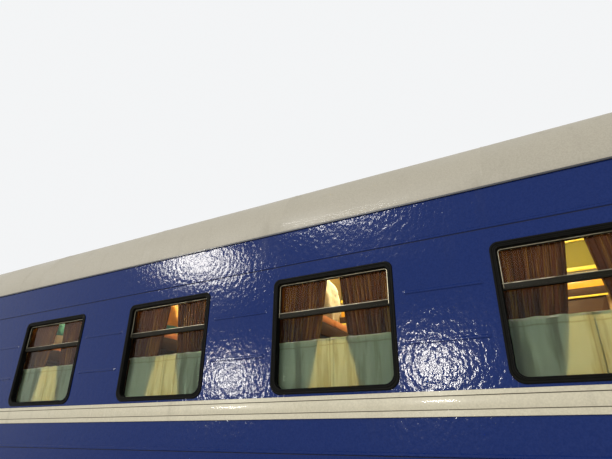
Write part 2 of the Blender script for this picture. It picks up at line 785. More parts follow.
    def build(
        self,
        name: str,
        finishes: Sequence[Finish],
        slot: str,
        stands_for: Sequence[str] = (),
        crease: float = 32.0,
        body: str = "coach",
        weld: bool = True,
    ) -> bpy.types.Object:
        """Turns the gathered surfaces into one object that rides on a body.

        Args:
            name: Name of the piece.
            finishes: Finishes in the order of the tones.
            slot: Material slot of the record.
            stands_for: CAD nodes that the piece replaces.
            crease: Angle in degrees past which an edge stays sharp.
            body: Body that the piece rides on.
            weld: Merges points in one place and turns the faces outwards.

        Returns:
            The object.
        """
        points, faces = np.vstack(self.points), np.vstack(self.faces)
        kept = faces >= 0
        sizes = kept.sum(1)
        mesh = bpy.data.meshes.new(name)
        mesh.vertices.add(len(points))
        mesh.vertices.foreach_set("co", points.ravel())
        corners = faces[kept]
        mesh.loops.add(len(corners))
        mesh.loops.foreach_set("vertex_index", corners)
        mesh.polygons.add(len(faces))
        mesh.polygons.foreach_set("loop_start", np.concatenate([[0], np.cumsum(sizes)[:-1]]))
        mesh.polygons.foreach_set("material_index", np.concatenate(self.tones))
        flat = np.vstack(self.maps)
        if flat.any():
            layer = mesh.uv_layers.new(name="cloth")
            layer.data.foreach_set("uv", flat[corners].ravel())
        mesh.update(calc_edges=True)
        if weld:
            edit = bmesh.new()
            edit.from_mesh(mesh)
            bmesh.ops.remove_doubles(edit, verts=edit.verts, dist=2e-5)
            bmesh.ops.dissolve_degenerate(edit, edges=edit.edges, dist=1e-6)
            bmesh.ops.recalc_face_normals(edit, faces=edit.faces)
            edit.to_mesh(mesh)
            edit.free()
        return placed(name, mesh, finishes, stands_for, crease, body)


def placed(
    name: str,
    mesh: bpy.types.Mesh,
    finishes: Sequence[Finish],
    stands_for: Sequence[str],
    crease: float,
    body: str,
) -> bpy.types.Object:
    """Dresses a mesh in its finishes, links it as a piece and lets it ride on its body.

    Args:
        name: Name of the piece.
        mesh: Its mesh, in place in the row frame.
        finishes: Finishes in the order of the mesh's material numbers.
        stands_for: CAD nodes that the piece replaces.
        crease: Angle in degrees past which an edge stays sharp.
        body: Body that the piece rides on.

    Returns:
        The object.
    """
    for finish in finishes:
        mesh.materials.append(dressed(finish))
    mesh.shade_smooth()
    mesh.set_sharp_from_angle(angle=radians(crease))
    piece = bpy.data.objects.new(name, mesh)
    bpy.context.scene.collection.objects.link(piece)
    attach(piece, body)
    if stands_for:
        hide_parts(*stands_for)
    LOG.info("%s: %d faces", name, len(mesh.polygons))
    return piece


@dataclass(frozen=True)
class Solid:
    """Box of one solid of a CAD node."""

    low: tuple[float, float, float]
    high: tuple[float, float, float]

    @property
    def centre(self) -> Array:
        """Middle of the box."""
        return (np.array(self.low) + self.high) / 2

    @property
    def size(self) -> Array:
        """Sizes of the box."""
        return np.array(self.high) - self.low


@cache
def welded(node: str) -> tuple[Array, Array, Array]:
    """Points, triangles and solid numbers of a CAD node, its loose triangles joined where their corners meet.

    Args:
        node: Name of the node.

    Returns:
        The points, the triangles, and for each point the number of its solid.
    """
    mesh = frame["nodes"][node].data
    raw = np.empty(len(mesh.vertices) * 3)
    mesh.vertices.foreach_get("co", raw)
    corners = np.empty(len(mesh.loops), np.int64)
    mesh.loops.foreach_get("vertex_index", corners)
    keys, back = np.unique(np.round(raw.reshape(-1, 3) * 1e5).astype(np.int64), axis=0, return_inverse=True)
    triangles = back.ravel()[corners].reshape(-1, 3)
    whole = (triangles != np.roll(triangles, 1, axis=1)).all(1)
    triangles = triangles[whole]
    label = np.arange(len(keys))
    while True:
        lower = label.copy()
        np.minimum.at(lower, triangles.ravel(), np.repeat(label[triangles].min(1), 3))
        lower = lower[lower]
        if (lower == label).all():
            break
        label = lower
    return keys / 1e5, triangles, np.unique(label, return_inverse=True)[1].ravel()


@cache
def solids(node: str) -> tuple[Solid, ...]:
    """Boxes of a CAD node's solids, in order along the coach, across it and up.

    Args:
        node: Name of the node.

    Returns:
        The boxes.
    """
    points, _, label = welded(node)
    boxes = [(points[label == number].min(0), points[label == number].max(0)) for number in range(label.max() + 1)]
    made = [Solid(tuple(low), tuple(high)) for low, high in boxes]
    return tuple(sorted(made, key=lambda box: tuple(np.round(box.centre, 2))))


def softened(
    node: str,
    finishes: Sequence[Finish],
    width: float,
    tone_of: Callable[[Solid], int] | None = None,
) -> None:
    """Makes a copy of a CAD node with rounded edges and lets it stand for the node.

    Args:
        node: Name of the node.
        finishes: Finishes in the order of the tones.
        width: Width of the rounding.
        tone_of: Gives the tone of each solid from its box.
    """
    points, triangles, label = welded(node)
    mesh = bpy.data.meshes.new(f"{node}_soft")
    mesh.from_pydata(points.tolist(), [], triangles.tolist())
    if tone_of:
        tones = np.zeros(label.max() + 1, np.int32)
        for number in range(len(tones)):
            own = points[label == number]
            tones[number] = tone_of(Solid(tuple(own.min(0)), tuple(own.max(0))))
        mesh.polygons.foreach_set("material_index", tones[label[triangles[:, 0]]])
    edit = bmesh.new()
    edit.from_mesh(mesh)
    bmesh.ops.dissolve_limit(edit, angle_limit=radians(0.6), verts=edit.verts, edges=edit.edges)
    edit.to_mesh(mesh)
    edit.free()
    piece = placed(f"{node}_soft", mesh, finishes, [node], 180.0, frame["nodes"][node]["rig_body"])
    rounding = piece.modifiers.new("rounding", "BEVEL")
    rounding.width = width
    rounding.segments = 2
    rounding.limit_method = "ANGLE"
    rounding.angle_limit = radians(28)
    rounding.harden_normals = True


def painted(node: str, finish: Finish) -> None:
    """Gives a CAD node its finish and leaves its mesh as it is.

    Args:
        node: Name of the node.
        finish: The finish.
    """
    piece = frame["nodes"][node]
    piece.data.materials.clear()
    piece.data.materials.append(dressed(finish))


@dataclass
class Sheet:
    """Flat sheet with rounded holes, worked out as a grid whose cells round each hole give way to a ring."""

    columns: Array
    rows: Array
    quads: list[Array] = field(default_factory=list)
    points: list[Array] = field(default_factory=list)

    def cut(self, holes: Sequence[tuple[float, float, float, float, float, float, float]]) -> None:
        """Lays the grid and cuts the holes.

        Each hole's cell is a rectangle on grid lines. Its edge points move to the nearest point of the
        rounded outline: towards the nearest point of the outline's core, as far as the corner radius.

        Args:
            holes: For each, its middle across and up, its width and height, its lower and upper radius, and
                how far its cell reaches beyond it.
        """
        across, up = np.meshgrid(self.columns, self.rows)
        points = np.stack([across, up], -1).reshape(-1, 2)
        quads = lattice(len(self.rows), len(self.columns))
        middle = points[quads].mean(1)
        keep = np.ones(len(quads), bool)
        self.points.append(points)
        for x, z, width, height, foot_r, top_r, margin in holes:
            half = np.array([width / 2 + margin, height / 2 + margin])
            keep &= (np.abs(middle - (x, z)) > half - 1e-6).any(1)
            wide = self.columns[np.abs(self.columns - x) < half[0] + 1e-6]
            tall = self.rows[np.abs(self.rows - z) < half[1] + 1e-6]
            loop = np.concatenate(
                [
                    joined(wide, tall[0])[:-1],
                    joined(wide[-1], tall)[:-1],
                    joined(wide, tall[-1])[:0:-1],
                    joined(wide[0], tall)[:0:-1],
                ]
            )
            radius = np.where(loop[:, 1:] < z, foot_r, top_r)
            reach = np.array([width / 2, height / 2]) - radius
            core = np.clip(loop - (x, z), -reach, reach)
            away = loop - (x, z) - core
            rim = core + radius * away / np.linalg.norm(away, axis=1, keepdims=True) + (x, z)
            share = np.array([0.0, 0.4, 0.75, 1.0])[:, None, None]
            ring = loop * (1 - share) + rim * share
            self.quads.append(lattice(4, len(loop), wrap_columns=True) + sum(map(len, self.points)))
            self.points.append(ring.reshape(-1, 2))
        self.quads.insert(0, quads[keep])

    def solid(
        self,
        skin: Skin,
        place: Callable[[Array, Array, Array], Array],
        relief: Callable[[Array, Array], Array],
        thickness: float,
    ) -> None:
        """Gives the sheet its relief and thickness: a face, a back, and a wall along every open edge.

        Args:
            skin: Where the surfaces go.
            place: Carries (across, up, depth behind the face) into the row frame.
            relief: How far the face stands out at each (across, up).
            thickness: From the face's flat to the back, which has the second finish.
        """
        raw = np.vstack(self.points)
        keys, back = np.unique(np.round(raw * 1e6).astype(np.int64), axis=0, return_inverse=True)
        flat, quads = keys / 1e6, back.ravel()[np.vstack(self.quads)]
        across, up = flat.T
        number = len(flat)
        edges = np.sort(np.concatenate([quads[:, [n, (n + 1) % 4]] for n in range(4)]), axis=1)
        found, uses = np.unique(edges, axis=0, return_counts=True)
        rim = found[uses == 1]
        walls = np.column_stack([rim, rim[:, ::-1] + number])
        points = np.vstack([place(across, up, -relief(across, up)), place(across, up, np.full(number, thickness))])
        tone = np.repeat([0, 1, 0], [len(quads), len(quads), len(walls)])
        skin.add(points, np.vstack([quads, quads + number, walls]), tone)


def spaced(stops: Numbers, gap: float) -> Array:
    """Even steps between stops.

    Args:
        stops: Places that are all kept, in any order.
        gap: Longest step.

    Returns:
        All the places in order.
    """
    stops = np.unique(np.round(stops, 5))
    runs = [
        np.linspace(start, stop, max(2, int(np.ceil((stop - start) / gap)) + 1))[:-1]
        for start, stop in zip(stops, stops[1:])
    ]
    return np.concatenate([*runs, stops[-1:]])


def ramp(value: Array) -> Array:
    """Smooth step from 0 to 1 while the value goes from 0 to 1: three squares less two cubes."""
    value = np.clip(value, 0.0, 1.0)
    return value * value * (3 - 2 * value)


def rib(value: Array, centre: float, width: float, flank: float) -> Array:
    """Flat-topped rib of height 1 with smooth flanks: the smooth step of the distance from its edges."""
    return ramp((width / 2 - np.abs(value - centre)) / flank)


def ridge(value: Array, centre: float, width: float) -> Array:
    """Rounded ridge of height 1: half of one plus the cosine across its width."""
    near = np.abs(value - centre) < width / 2
    return np.where(near, 0.5 + 0.5 * np.cos(2 * pi * (value - centre) / width), 0.0)


@dataclass(frozen=True)
class Window:
    """Place and size of a window's seal."""

    x: float
    z: float
    width: float
    height: float
    side: Side

    @property
    def wide(self) -> bool:
        """Whether it is a compartment's or corridor's wide window."""
        return self.width > 0.8


@cache
def windows(side: Side) -> tuple[Window, ...]:
    """Windows of one side, from the boxes of their seals.

    Args:
        side: Which side of the coach.

    Returns:
        The windows in order along the coach.
    """
    seals = [box for box in solids("window_seals") if box.centre[1] * side > 0]
    return tuple(Window(*map(float, (box.centre[0], box.centre[2], box.size[0], box.size[2])), side) for box in seals)


# Body


@dataclass
class BodySide:
    """Pressed steel sheet of one side with its window holes, long and short beads and slight waves."""

    side: Side
    node: str
    face: float = SIDE_FACE
    thickness: float = 0.065
    long_beads: tuple[float, ...] = (3.216, 1.724, 1.468, 1.218)
    short_beads: tuple[float, ...] = (2.810, 2.441)
    bead_width: float = 0.026
    bead_flank: float = 0.006
    bead_height: float = 0.0066
    bead_gap: float = 0.068
    hole_inset: float = 0.024
    hole_radii: tuple[float, float] = (0.075, 0.045)
    cell_margin: float = 0.040
    steps: tuple[float, float] = (0.15, 0.11)
    widest_gap: float = 1.7
    fade: float = 0.02
    wave: float = 0.0004

    def gaps(self) -> list[tuple[float, float]]:
        """Finds the stretches between neighbouring windows that carry short beads.

        Returns:
            Start and stop of each along the coach.
        """
        found = []
        for left, right in zip(windows(self.side), windows(self.side)[1:]):
            start, stop = left.x + left.width / 2 + self.bead_gap, right.x - right.width / 2 - self.bead_gap
            if stop - start < self.widest_gap:
                found.append((start, stop))
        return found

    def relief(self, across: Array, up: Array) -> Array:
        """Beads as rounded ridges, the short ones fading at both ends, on slow waves made of two sine products.

        Args:
            across: Places along the coach.
            up: Heights.

        Returns:
            How far the sheet stands out at each.
        """
        out = sum(self.bead_height * rib(up, height, self.bead_width, self.bead_flank) for height in self.long_beads)
        for start, stop in self.gaps():
            fade = ramp((across - start) / self.fade) * ramp((stop - across) / self.fade)
            for height in self.short_beads:
                out = out + self.bead_height * fade * rib(up, height, self.bead_width, self.bead_flank)
        phase = 1.7 * self.side
        waves = np.sin(4.1 * across + phase) * np.sin(5.3 * up + 0.4)
        waves += 0.6 * np.sin(9.7 * across + 2.1) * np.sin(7.9 * up + phase)
        return out + self.wave * (waves - 1.0)

    def build(self) -> None:
        """Lays the grid on the beads' own lines, cuts the windows and gives the sheet its thickness."""
        low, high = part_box(self.node)
        half, flank = self.bead_width / 2, self.bead_flank
        rise = np.array([-0.012, -0.004, 0.0, flank / 2, flank]) - half
        beads = [height + step for height in (*self.long_beads, *self.short_beads) for step in (*rise, *-rise[::-1])]
        margin, cells = self.cell_margin, []
        for window in windows(self.side):
            width, height = window.width - 2 * self.hole_inset, window.height - 2 * self.hole_inset
            cells.append((window.x, window.z, width, height, *self.hole_radii, margin))
        columns = [low.x, high.x] + [cell[0] + way * (cell[2] / 2 + margin) for cell in cells for way in (-1, 1)]
        ends = (-0.010, -0.003, 0.0, 0.007, 0.013, 0.020, 0.028)
        columns += [place for start, stop in self.gaps() for end in ends for place in (start + end, stop - end)]
        middle, tall = cells[0][1], cells[0][3] / 2 + margin
        rows = [low.z, high.z, middle - tall, middle + tall, *beads]
        sheet = Sheet(spaced(columns, self.steps[0]), spaced(rows, self.steps[1]))
        sheet.cut(cells)
        skin = Skin()

        def place(across: Array, up: Array, depth: Array) -> Array:
            """Puts the sheet on its side of the coach."""
            return joined(across, self.side * (self.face - depth), up)

        sheet.solid(skin, place, self.relief, self.thickness)
        skin.build(f"{self.node}_sheet", [BLUE, WALL], "blue_paint", [self.node], 40.0)


@dataclass
class Roof:
    """Arched roof sheet with its welded seams, the gutters and the ventilators."""

    half_width: float = SIDE_FACE
    eaves: float = 3.558
    eaves_radius: float = 0.6
    thickness: float = 0.09
    seam_pitch: float = 1.8
    seam_width: float = 0.03
    seam_height: float = 0.0024
    wave: float = 0.0012
    still_from: float = 1.55
    slot: float = 0.012

    def arch(self, inset: float, foot: float, top: float) -> Array:
        """Section of the roof: straight foot, eaves arc, crown arc, and the same mirrored.

        The crown's radius makes it touch both eaves arcs: with a the eaves centre's distance from the middle,
        d the crown's rise above it and r the eaves radius, it is (a squared + d squared - r squared) / 2 (d - r).

        Args:
            inset: How far the section lies inside the roof's face.
            foot: Height of its two feet.
            top: Height of the crown's face.

        Returns:
            The points as (across, up).
        """
        a, d, r = self.half_width - self.eaves_radius, top - self.eaves, self.eaves_radius
        crown = (a * a + d * d - r * r) / (2 * (d - r))
        base = top - crown
        turn = np.arctan2(self.eaves - base, a)
        eave = np.linspace(0.0, turn, 16)
        arc = np.linspace(turn, pi / 2, 20)[1:]
        right = np.concatenate(
            [
                [[self.half_width - inset, foot]],
                joined(a + (r - inset) * np.cos(eave), self.eaves + (r - inset) * np.sin(eave)),
                joined((crown - inset) * np.cos(arc), base + (crown - inset) * np.sin(arc)),
            ]
        )
        return np.concatenate([right, right[-2::-1] * (-1, 1)])

    def build(self) -> None:
        """Carries the section along the coach and softens gutters and vents.

        The face is lifted along its normal by a low ridge at each seam and by a wave, the product of two
        sines, that fades towards the eaves.
        """
        low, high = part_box("roof")
        seams = np.arange(-6, 7) * self.seam_pitch
        stops = [seam + part * self.seam_width for seam in seams for part in np.linspace(-0.5, 0.5, 5)]
        along = spaced([low.x, high.x, *stops], 0.45)
        swell = sum(self.seam_height * ridge(along, seam, self.seam_width) for seam in seams)
        outer, inner = self.arch(0.0, low.z, high.z), self.arch(self.thickness, low.z, high.z)
        waves = self.wave * np.sin(2.9 * along)[:, None] * np.sin(9 * pi / 74 * np.arange(len(outer)))
        waves *= np.interp(np.abs(outer[:, 0]), [1.3, 1.5], [1.0, 0.0])
        ahead = np.gradient(outer, axis=0)
        normal = joined(ahead[:, 1], -ahead[:, 0]) / np.linalg.norm(ahead, axis=1)[:, None]
        lift = (swell[:, None] + waves - self.wave)[..., None] * normal
        section = outer + lift * (np.abs(outer[:, :1]) < self.still_from)
        skin = Skin()
        for part, tone in ((section, 0), (inner, 1)):
            skin.grid(joined(along[:, None], part[..., 0], part[..., 1]), tone=tone)
        for index in (0, -1):
            skin.grid(np.stack([joined(along[index], *line.T) for line in (section[index], inner)]))
        for index in (0, -1):
            skin.grid(np.stack([joined(along, *line[index]) for line in (outer, inner)]))
        skin.build("roof_sheet", [ROOF_GREY, CEILING], "roof_grey", ["roof"], 40.0)
        softened("rain_gutters", [GUTTER_DARK], 0.003)
        softened("roof_vents", [ROOF_GREY], 0.012)
        self.louvres()

    def louvres(self) -> None:
        """Puts a row of cowled slots on both long faces of each ventilator."""
        skin = Skin()
        for vent in solids("roof_vents"):
            (x, y, _), (length, width, height) = vent.centre, vent.size
            for face in (-1, 1):
                for row in (0.35, 0.65):
                    z = vent.low[2] + row * height
                    edge = y + face * (width / 2 - 0.2 * row * height - 0.004)
                    low = (x - 0.36 * length, edge, z)
                    skin.block(low, (x + 0.36 * length, edge + face * self.slot, z + self.slot), 0.003)
        skin.build("vent_louvres", [ROOF_GREY], "roof_grey")


@dataclass
class WaistBand:
    """Cream band under the windows on both sides."""

    rounding: float = 0.0012

    def build(self) -> None:
        """Rounds the band's edges."""
        softened("waist_rails", [CREAM], self.rounding)


# Windows


@dataclass
class WindowSet:
    """Rubber seals with their filler strips, hopper frames with their transoms, and the panes."""

    face: float = SIDE_FACE
    seal_foot_r: float = 0.095
    seal_top_r: float = 0.060
    foot_taper: float = 0.020 / 0.042
    top_taper: float = 0.030 / 0.042
    frame_face: float = 1.5305
    frame_back: float = 1.5045
    transom: float = 0.047
    lip: float = 0.005
    catch: float = 0.03

    def rings(self, window: Window, profile: Sequence[tuple[float, float]], steps: int) -> Array:
        """Carries a profile round a window, its corner radii shrinking with the inset.

        Args:
            window: The window.
            profile: Points of (inset, stand-out).
            steps: Points in each corner.

        Returns:
            One loop of points for each point of the profile.
        """
        loops = []
        for inset, out in profile:
            foot_r, top_r = self.seal_foot_r - self.foot_taper * inset, self.seal_top_r - self.top_taper * inset
            across, up = outline(window.width - 2 * inset, window.height - 2 * inset, foot_r, top_r, steps).T
            loops.append(joined(window.x + across, window.side * (self.face + out), window.z + up))
        return np.array(loops)

    def seals(self) -> None:
        """Carries the gasket's section round every window: a rounded lip, the filler strip's groove and the reveal."""
        profile = [
            (0.0000, -0.0020), (0.0002, 0.0040), (0.0022, 0.0072), (0.0060, 0.0080), (0.0130, 0.0079), (0.0165, 0.0068),
            (0.0180, 0.0046), (0.0205, 0.0046), (0.0225, 0.0072), (0.0285, 0.0072), (0.0305, 0.0046), (0.0330, 0.0050),
            (0.0375, 0.0066), (0.0412, 0.0044), (0.0420, 0.0), (0.0420, -0.05), (0.0200, -0.05), (0.0200, -0.0020),
        ]
        skin = Skin()
        for side in Side:
            for window in windows(side):
                skin.grid(self.rings(window, profile, 9), around=True, closed=True)
        skin.build("window_gaskets", [SEAL], "seal_rubber", ["window_seals"], 50.0)

    def frames(self) -> None:
        """Builds each hopper: a dark frame with a bright inner bead, and the transom bar with its bright lip."""
        skin = Skin()
        section = [(0, 0.026), (0, 0), (0.008, 0), (0.0082, -0.0014), (0.0122, -0.0014), (0.014, 0.002), (0.014, 0.026)]
        tones = np.array([0, 0, 0, 1, 1, 0, 0])
        for box in solids("window_frames"):
            (x, y, z), (width, _, height) = box.centre, box.size
            (left, _, foot), right, side = box.low, box.high[0], np.sign(y)
            loops = []
            for inset, depth in section:
                across, up = outline(width - 2 * inset, height - 2 * inset, 0.002, 0.030 - inset, 7).T
                loops.append(joined(x + across, side * (self.frame_face - depth), z + up))
            clear = np.array(loops)[..., 2] > foot + 0.01
            bright = clear & np.roll(clear, -1, axis=1)
            skin.grid(np.array(loops), around=True, closed=True, tone=(tones[:, None] * bright).ravel())
            back, face, top = side * self.frame_back, side * self.frame_face, foot + self.transom
            skin.block((left, back, foot), (right, face + side * 0.001, top - self.lip), 0.004, axis=Axis.ALONG)
            lip = (left + 0.002, back + side * 0.0015, top - self.lip)
            skin.block(lip, (right - 0.002, face + side * 0.003, top), 0.0018, axis=Axis.ALONG, tone=1)
            skin.block((x - self.catch, back, top - 0.03), (x + self.catch, side * 1.49, top - 0.012), 0.003, tone=1)
        skin.build("hopper_frames", [DARK_FRAME, BEAD], "frame_aluminium", ["window_frames"], 50.0)

    def build(self) -> None:
        """Builds seals and frames and gives the panes their glass."""
        self.seals()
        self.frames()
        painted("window_panes", PANE)


# Curtains


@dataclass
class Curtains:
    """Brown curtains drawn half open and short white ones over the lower panes, with their rods."""

    folds: int = 13
    fold_samples: int = 10
    levels: int = 18
    depth: float = 0.0155
    deepest: float = 0.0175
    to_wall: float = 0.030
    outer_edge: float = 0.522
    left_edge: tuple[float, ...] = (0.255, 0.200, 0.150, 0.108, 0.068)
    right_edge: tuple[float, ...] = (0.240, 0.180, 0.115, 0.080, 0.042)
    rod: float = 0.0055
    spread: float = 0.028
    cafe_columns: int = 130
    cafe_rows: int = 20
    cafe_pleats: int = 9
    cafe_deepest: float = 0.0048
    cafe_head: float = 0.010
    cafe_hem: float = 0.006
    doubled: float = 0.49
    turn_width: float = 0.0085
    turn_draw: float = 0.021

    def strip(self, outer: float, edge: Array, heights: Array, plane: float, seed: int) -> tuple[Array, Array, float]:
        """One gathered curtain.

        Across it, the place runs evenly from the outer edge to the inner edge of each level, with the spacing
        of the folds varied by two slow sines. The depth is a sine of the fold number with a smaller one of
        twice the pitch, deeper towards the foot. The outer edge turns back to the wall.

        Args:
            outer: Place of the outer edge along the coach.
            edge: Place of the inner edge at each level.
            heights: Height of each level, from the top down.
            plane: Middle plane across the coach.
            seed: Changes the folds from one curtain to the next.

        Returns:
            The surface, its map on the flat cloth in metres, and the cloth's flat width.
        """
        chance = np.random.default_rng(seed)
        share = np.linspace(0.0, 1.0, self.folds * self.fold_samples + 1)[None]
        fall = np.linspace(0.0, 1.0, len(heights))[:, None]
        phases = chance.uniform(0, 2 * pi, 5)
        drift = 0.55 * np.sin(2 * pi * 2.3 * share + phases[0]) + 0.35 * np.sin(2 * pi * 5.1 * share + phases[1])
        turn = 2 * pi * self.folds * share + drift + 0.35 * np.sin(3.0 * fall + phases[2] + 4.0 * share)
        wave = np.sin(turn) + 0.28 * np.sin(2 * turn + phases[3]) * (1 - 0.5 * fall)
        swell = 0.70 + 0.30 * ramp(fall * 1.4) + 0.12 * np.sin(2 * pi * 1.7 * share + phases[4])
        edge_on = ramp(share * 14)
        depth = np.clip(self.depth * swell * wave / 1.15, -self.deepest, self.deepest)
        depth = depth * (0.1 + 0.9 * edge_on) - self.to_wall * (1 - edge_on)
        lean = 0.010 * np.sin(turn + 1.1) * ramp(share * 12) * ramp((1 - share) * 12)
        along = outer + (edge[:, None] - outer) * share + lean * np.sign(edge[:, None] - outer)
        sag = 0.004 * np.sin(2 * pi * 0.8 * share + phases[0]) * ramp((fall - 0.9) * 10)
        up = np.broadcast_to(heights[:, None], along.shape) + sag
        surface = joined(along, plane + depth, up)
        steps = np.linalg.norm(np.diff(surface, axis=1), axis=-1)
        width = float(steps.sum(1).mean())
        across = np.concatenate([np.zeros((len(heights), 1)), np.cumsum(steps, 1)], 1)
        across *= width / across[:, -1:]
        return surface, joined(across + seed * 0.37, (heights[0] - heights)[:, None]), width

    def brown(self) -> None:
        """Hangs a curtain on both edges of each compartment window, its inner edge flaring towards the foot."""
        skin = Skin()
        boxes = solids("curtains")
        top, foot = max(box.high[2] for box in boxes), min(box.low[2] for box in boxes)
        heights = np.linspace(top - 0.001, foot + 0.006, self.levels)
        plane, total = boxes[0].centre[1], 0.0
        for number, window in enumerate(w for w in windows(Side.COMPARTMENTS) if w.wide and abs(w.x) < 9):
            for half, edge in ((-1, self.left_edge), (1, self.right_edge)):
                inner = window.x + half * np.interp(heights, [foot, 2.30, 2.53, 2.76, top], edge)
                outer = window.x + half * self.outer_edge
                surface, flat, width = self.strip(outer, inner, heights, plane, 2 * number + half + 3)
                skin.add(surface, lattice(*surface.shape[:2]), 0, flat)
                total += width
        piece = skin.build("brown_curtains", [BROWN_CLOTH], "curtain_brown", ["curtains"], 180.0, weld=False)

    def cafe(self, side: Side) -> None:
        """Hangs a short curtain in each wide window of a side.

        The depth adds two slow sines, a close one that fades below the heading, and ten leaning pleats, each the
        exponential of less the squared distance from its line. At the middle pleat the cloth doubles back: its
        place along is drawn in by the turn times the exponential of less the turn squared. The top edge dips
        between its clips, the heading passes in front of the rod, and the hem is a thin ridge.

        Args:
            side: Which side of the coach.
        """
        skin = Skin()
        total, drop = 0.0, 0.0
        boxes = [box for box in solids("cafe_curtains") if box.centre[1] * side > 0]
        for number, box in enumerate(boxes):
            chance = np.random.default_rng(40 + number + 20 * (side > 0))
            phases = chance.uniform(0, 2 * pi, 6)
            share = np.linspace(0.0, 1.0, self.cafe_columns)
            share = np.sort(np.concatenate([share, np.linspace(0.468, 0.512, 26)]))[None]
            fall = np.linspace(0.0, 1.0, self.cafe_rows)[:, None] ** 1.15
            depth = 0.0012 * np.sin(2 * pi * 5.3 * share + phases[0] + 0.9 * fall)
            depth = depth + 0.0009 * np.sin(2 * pi * 11.7 * share + phases[1] - 0.8 * fall)
            depth = depth + 0.0014 * np.sin(2 * pi * 34 * share + phases[2]) * (1 - ramp(fall * 4))
            ranges = ((0.05, 0.95), (-0.07, 0.07), (0.007, 0.016), (0.0018, 0.0040))
            pleats = [chance.uniform(low, high, self.cafe_pleats) for low, high in ranges]
            pleats[3] *= chance.choice([-1, 1], self.cafe_pleats)
            pleats.append(chance.uniform(-0.9, 0.9, self.cafe_pleats))
            for spot, lean, wide, size, fade in [(self.doubled, 0.0, 0.006, 0.0042, 0.0), *zip(*pleats)]:
                line = spot + lean * fall + 0.004 * np.sin(5 * fall + 9 * spot)
                strength = np.clip(1 - abs(fade) * (fall if fade > 0 else 1 - fall), 0.1, 1)
                depth = depth + size * strength * np.exp(-(((share - line) / wide) ** 2))
            depth = np.clip(depth + 0.0007 * ridge(fall, 0.06, 0.02), -self.cafe_deepest, self.cafe_deepest)
            depth = depth * ramp(fall * 30 + 0.1) - self.rod * (1 - ramp(fall * 30 - 0.6))
            dip = 0.0038 * np.sin(2 * pi * 1.5 * share + phases[4]) + 0.0026 * np.sin(2 * pi * 7 * share + phases[5])
            head = box.high[2] + self.cafe_head
            up = head + dip * (1 - ramp(fall * 3)) - (head - box.low[2] - self.cafe_hem) * fall
            turn = (share - self.doubled) / self.turn_width
            along = box.low[0] - self.spread + (box.size[0] + 2 * self.spread) * share
            along = along - self.turn_draw * turn * np.exp(-(turn**2)) * ramp(fall * 12)
            surface = joined(along, box.centre[1] - side * depth, up)
            width = float(np.linalg.norm(np.diff(surface, axis=1), axis=-1).sum(1).mean())
            flat = joined(width * share + number, box.size[2] * fall)
            skin.add(surface, lattice(*surface.shape[:2]), 0, flat)
            total += width
            drop = float(box.size[2])
        name = f"cafe_curtains_{side.name.lower()}"
        piece = skin.build(name, [WHITE_CLOTH], "curtain_white", (), 180.0, weld=False)

    def build(self) -> None:
        """Hangs all the curtains; the rods keep their shape and get rounded edges."""
        self.brown()
        for side in Side:
            self.cafe(side)
        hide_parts("cafe_curtains")
        softened("curtain_rods", [ALUMINIUM, CREAM], 0.0015, lambda rod: int(rod.high[2] < 2.6))


# Rooms


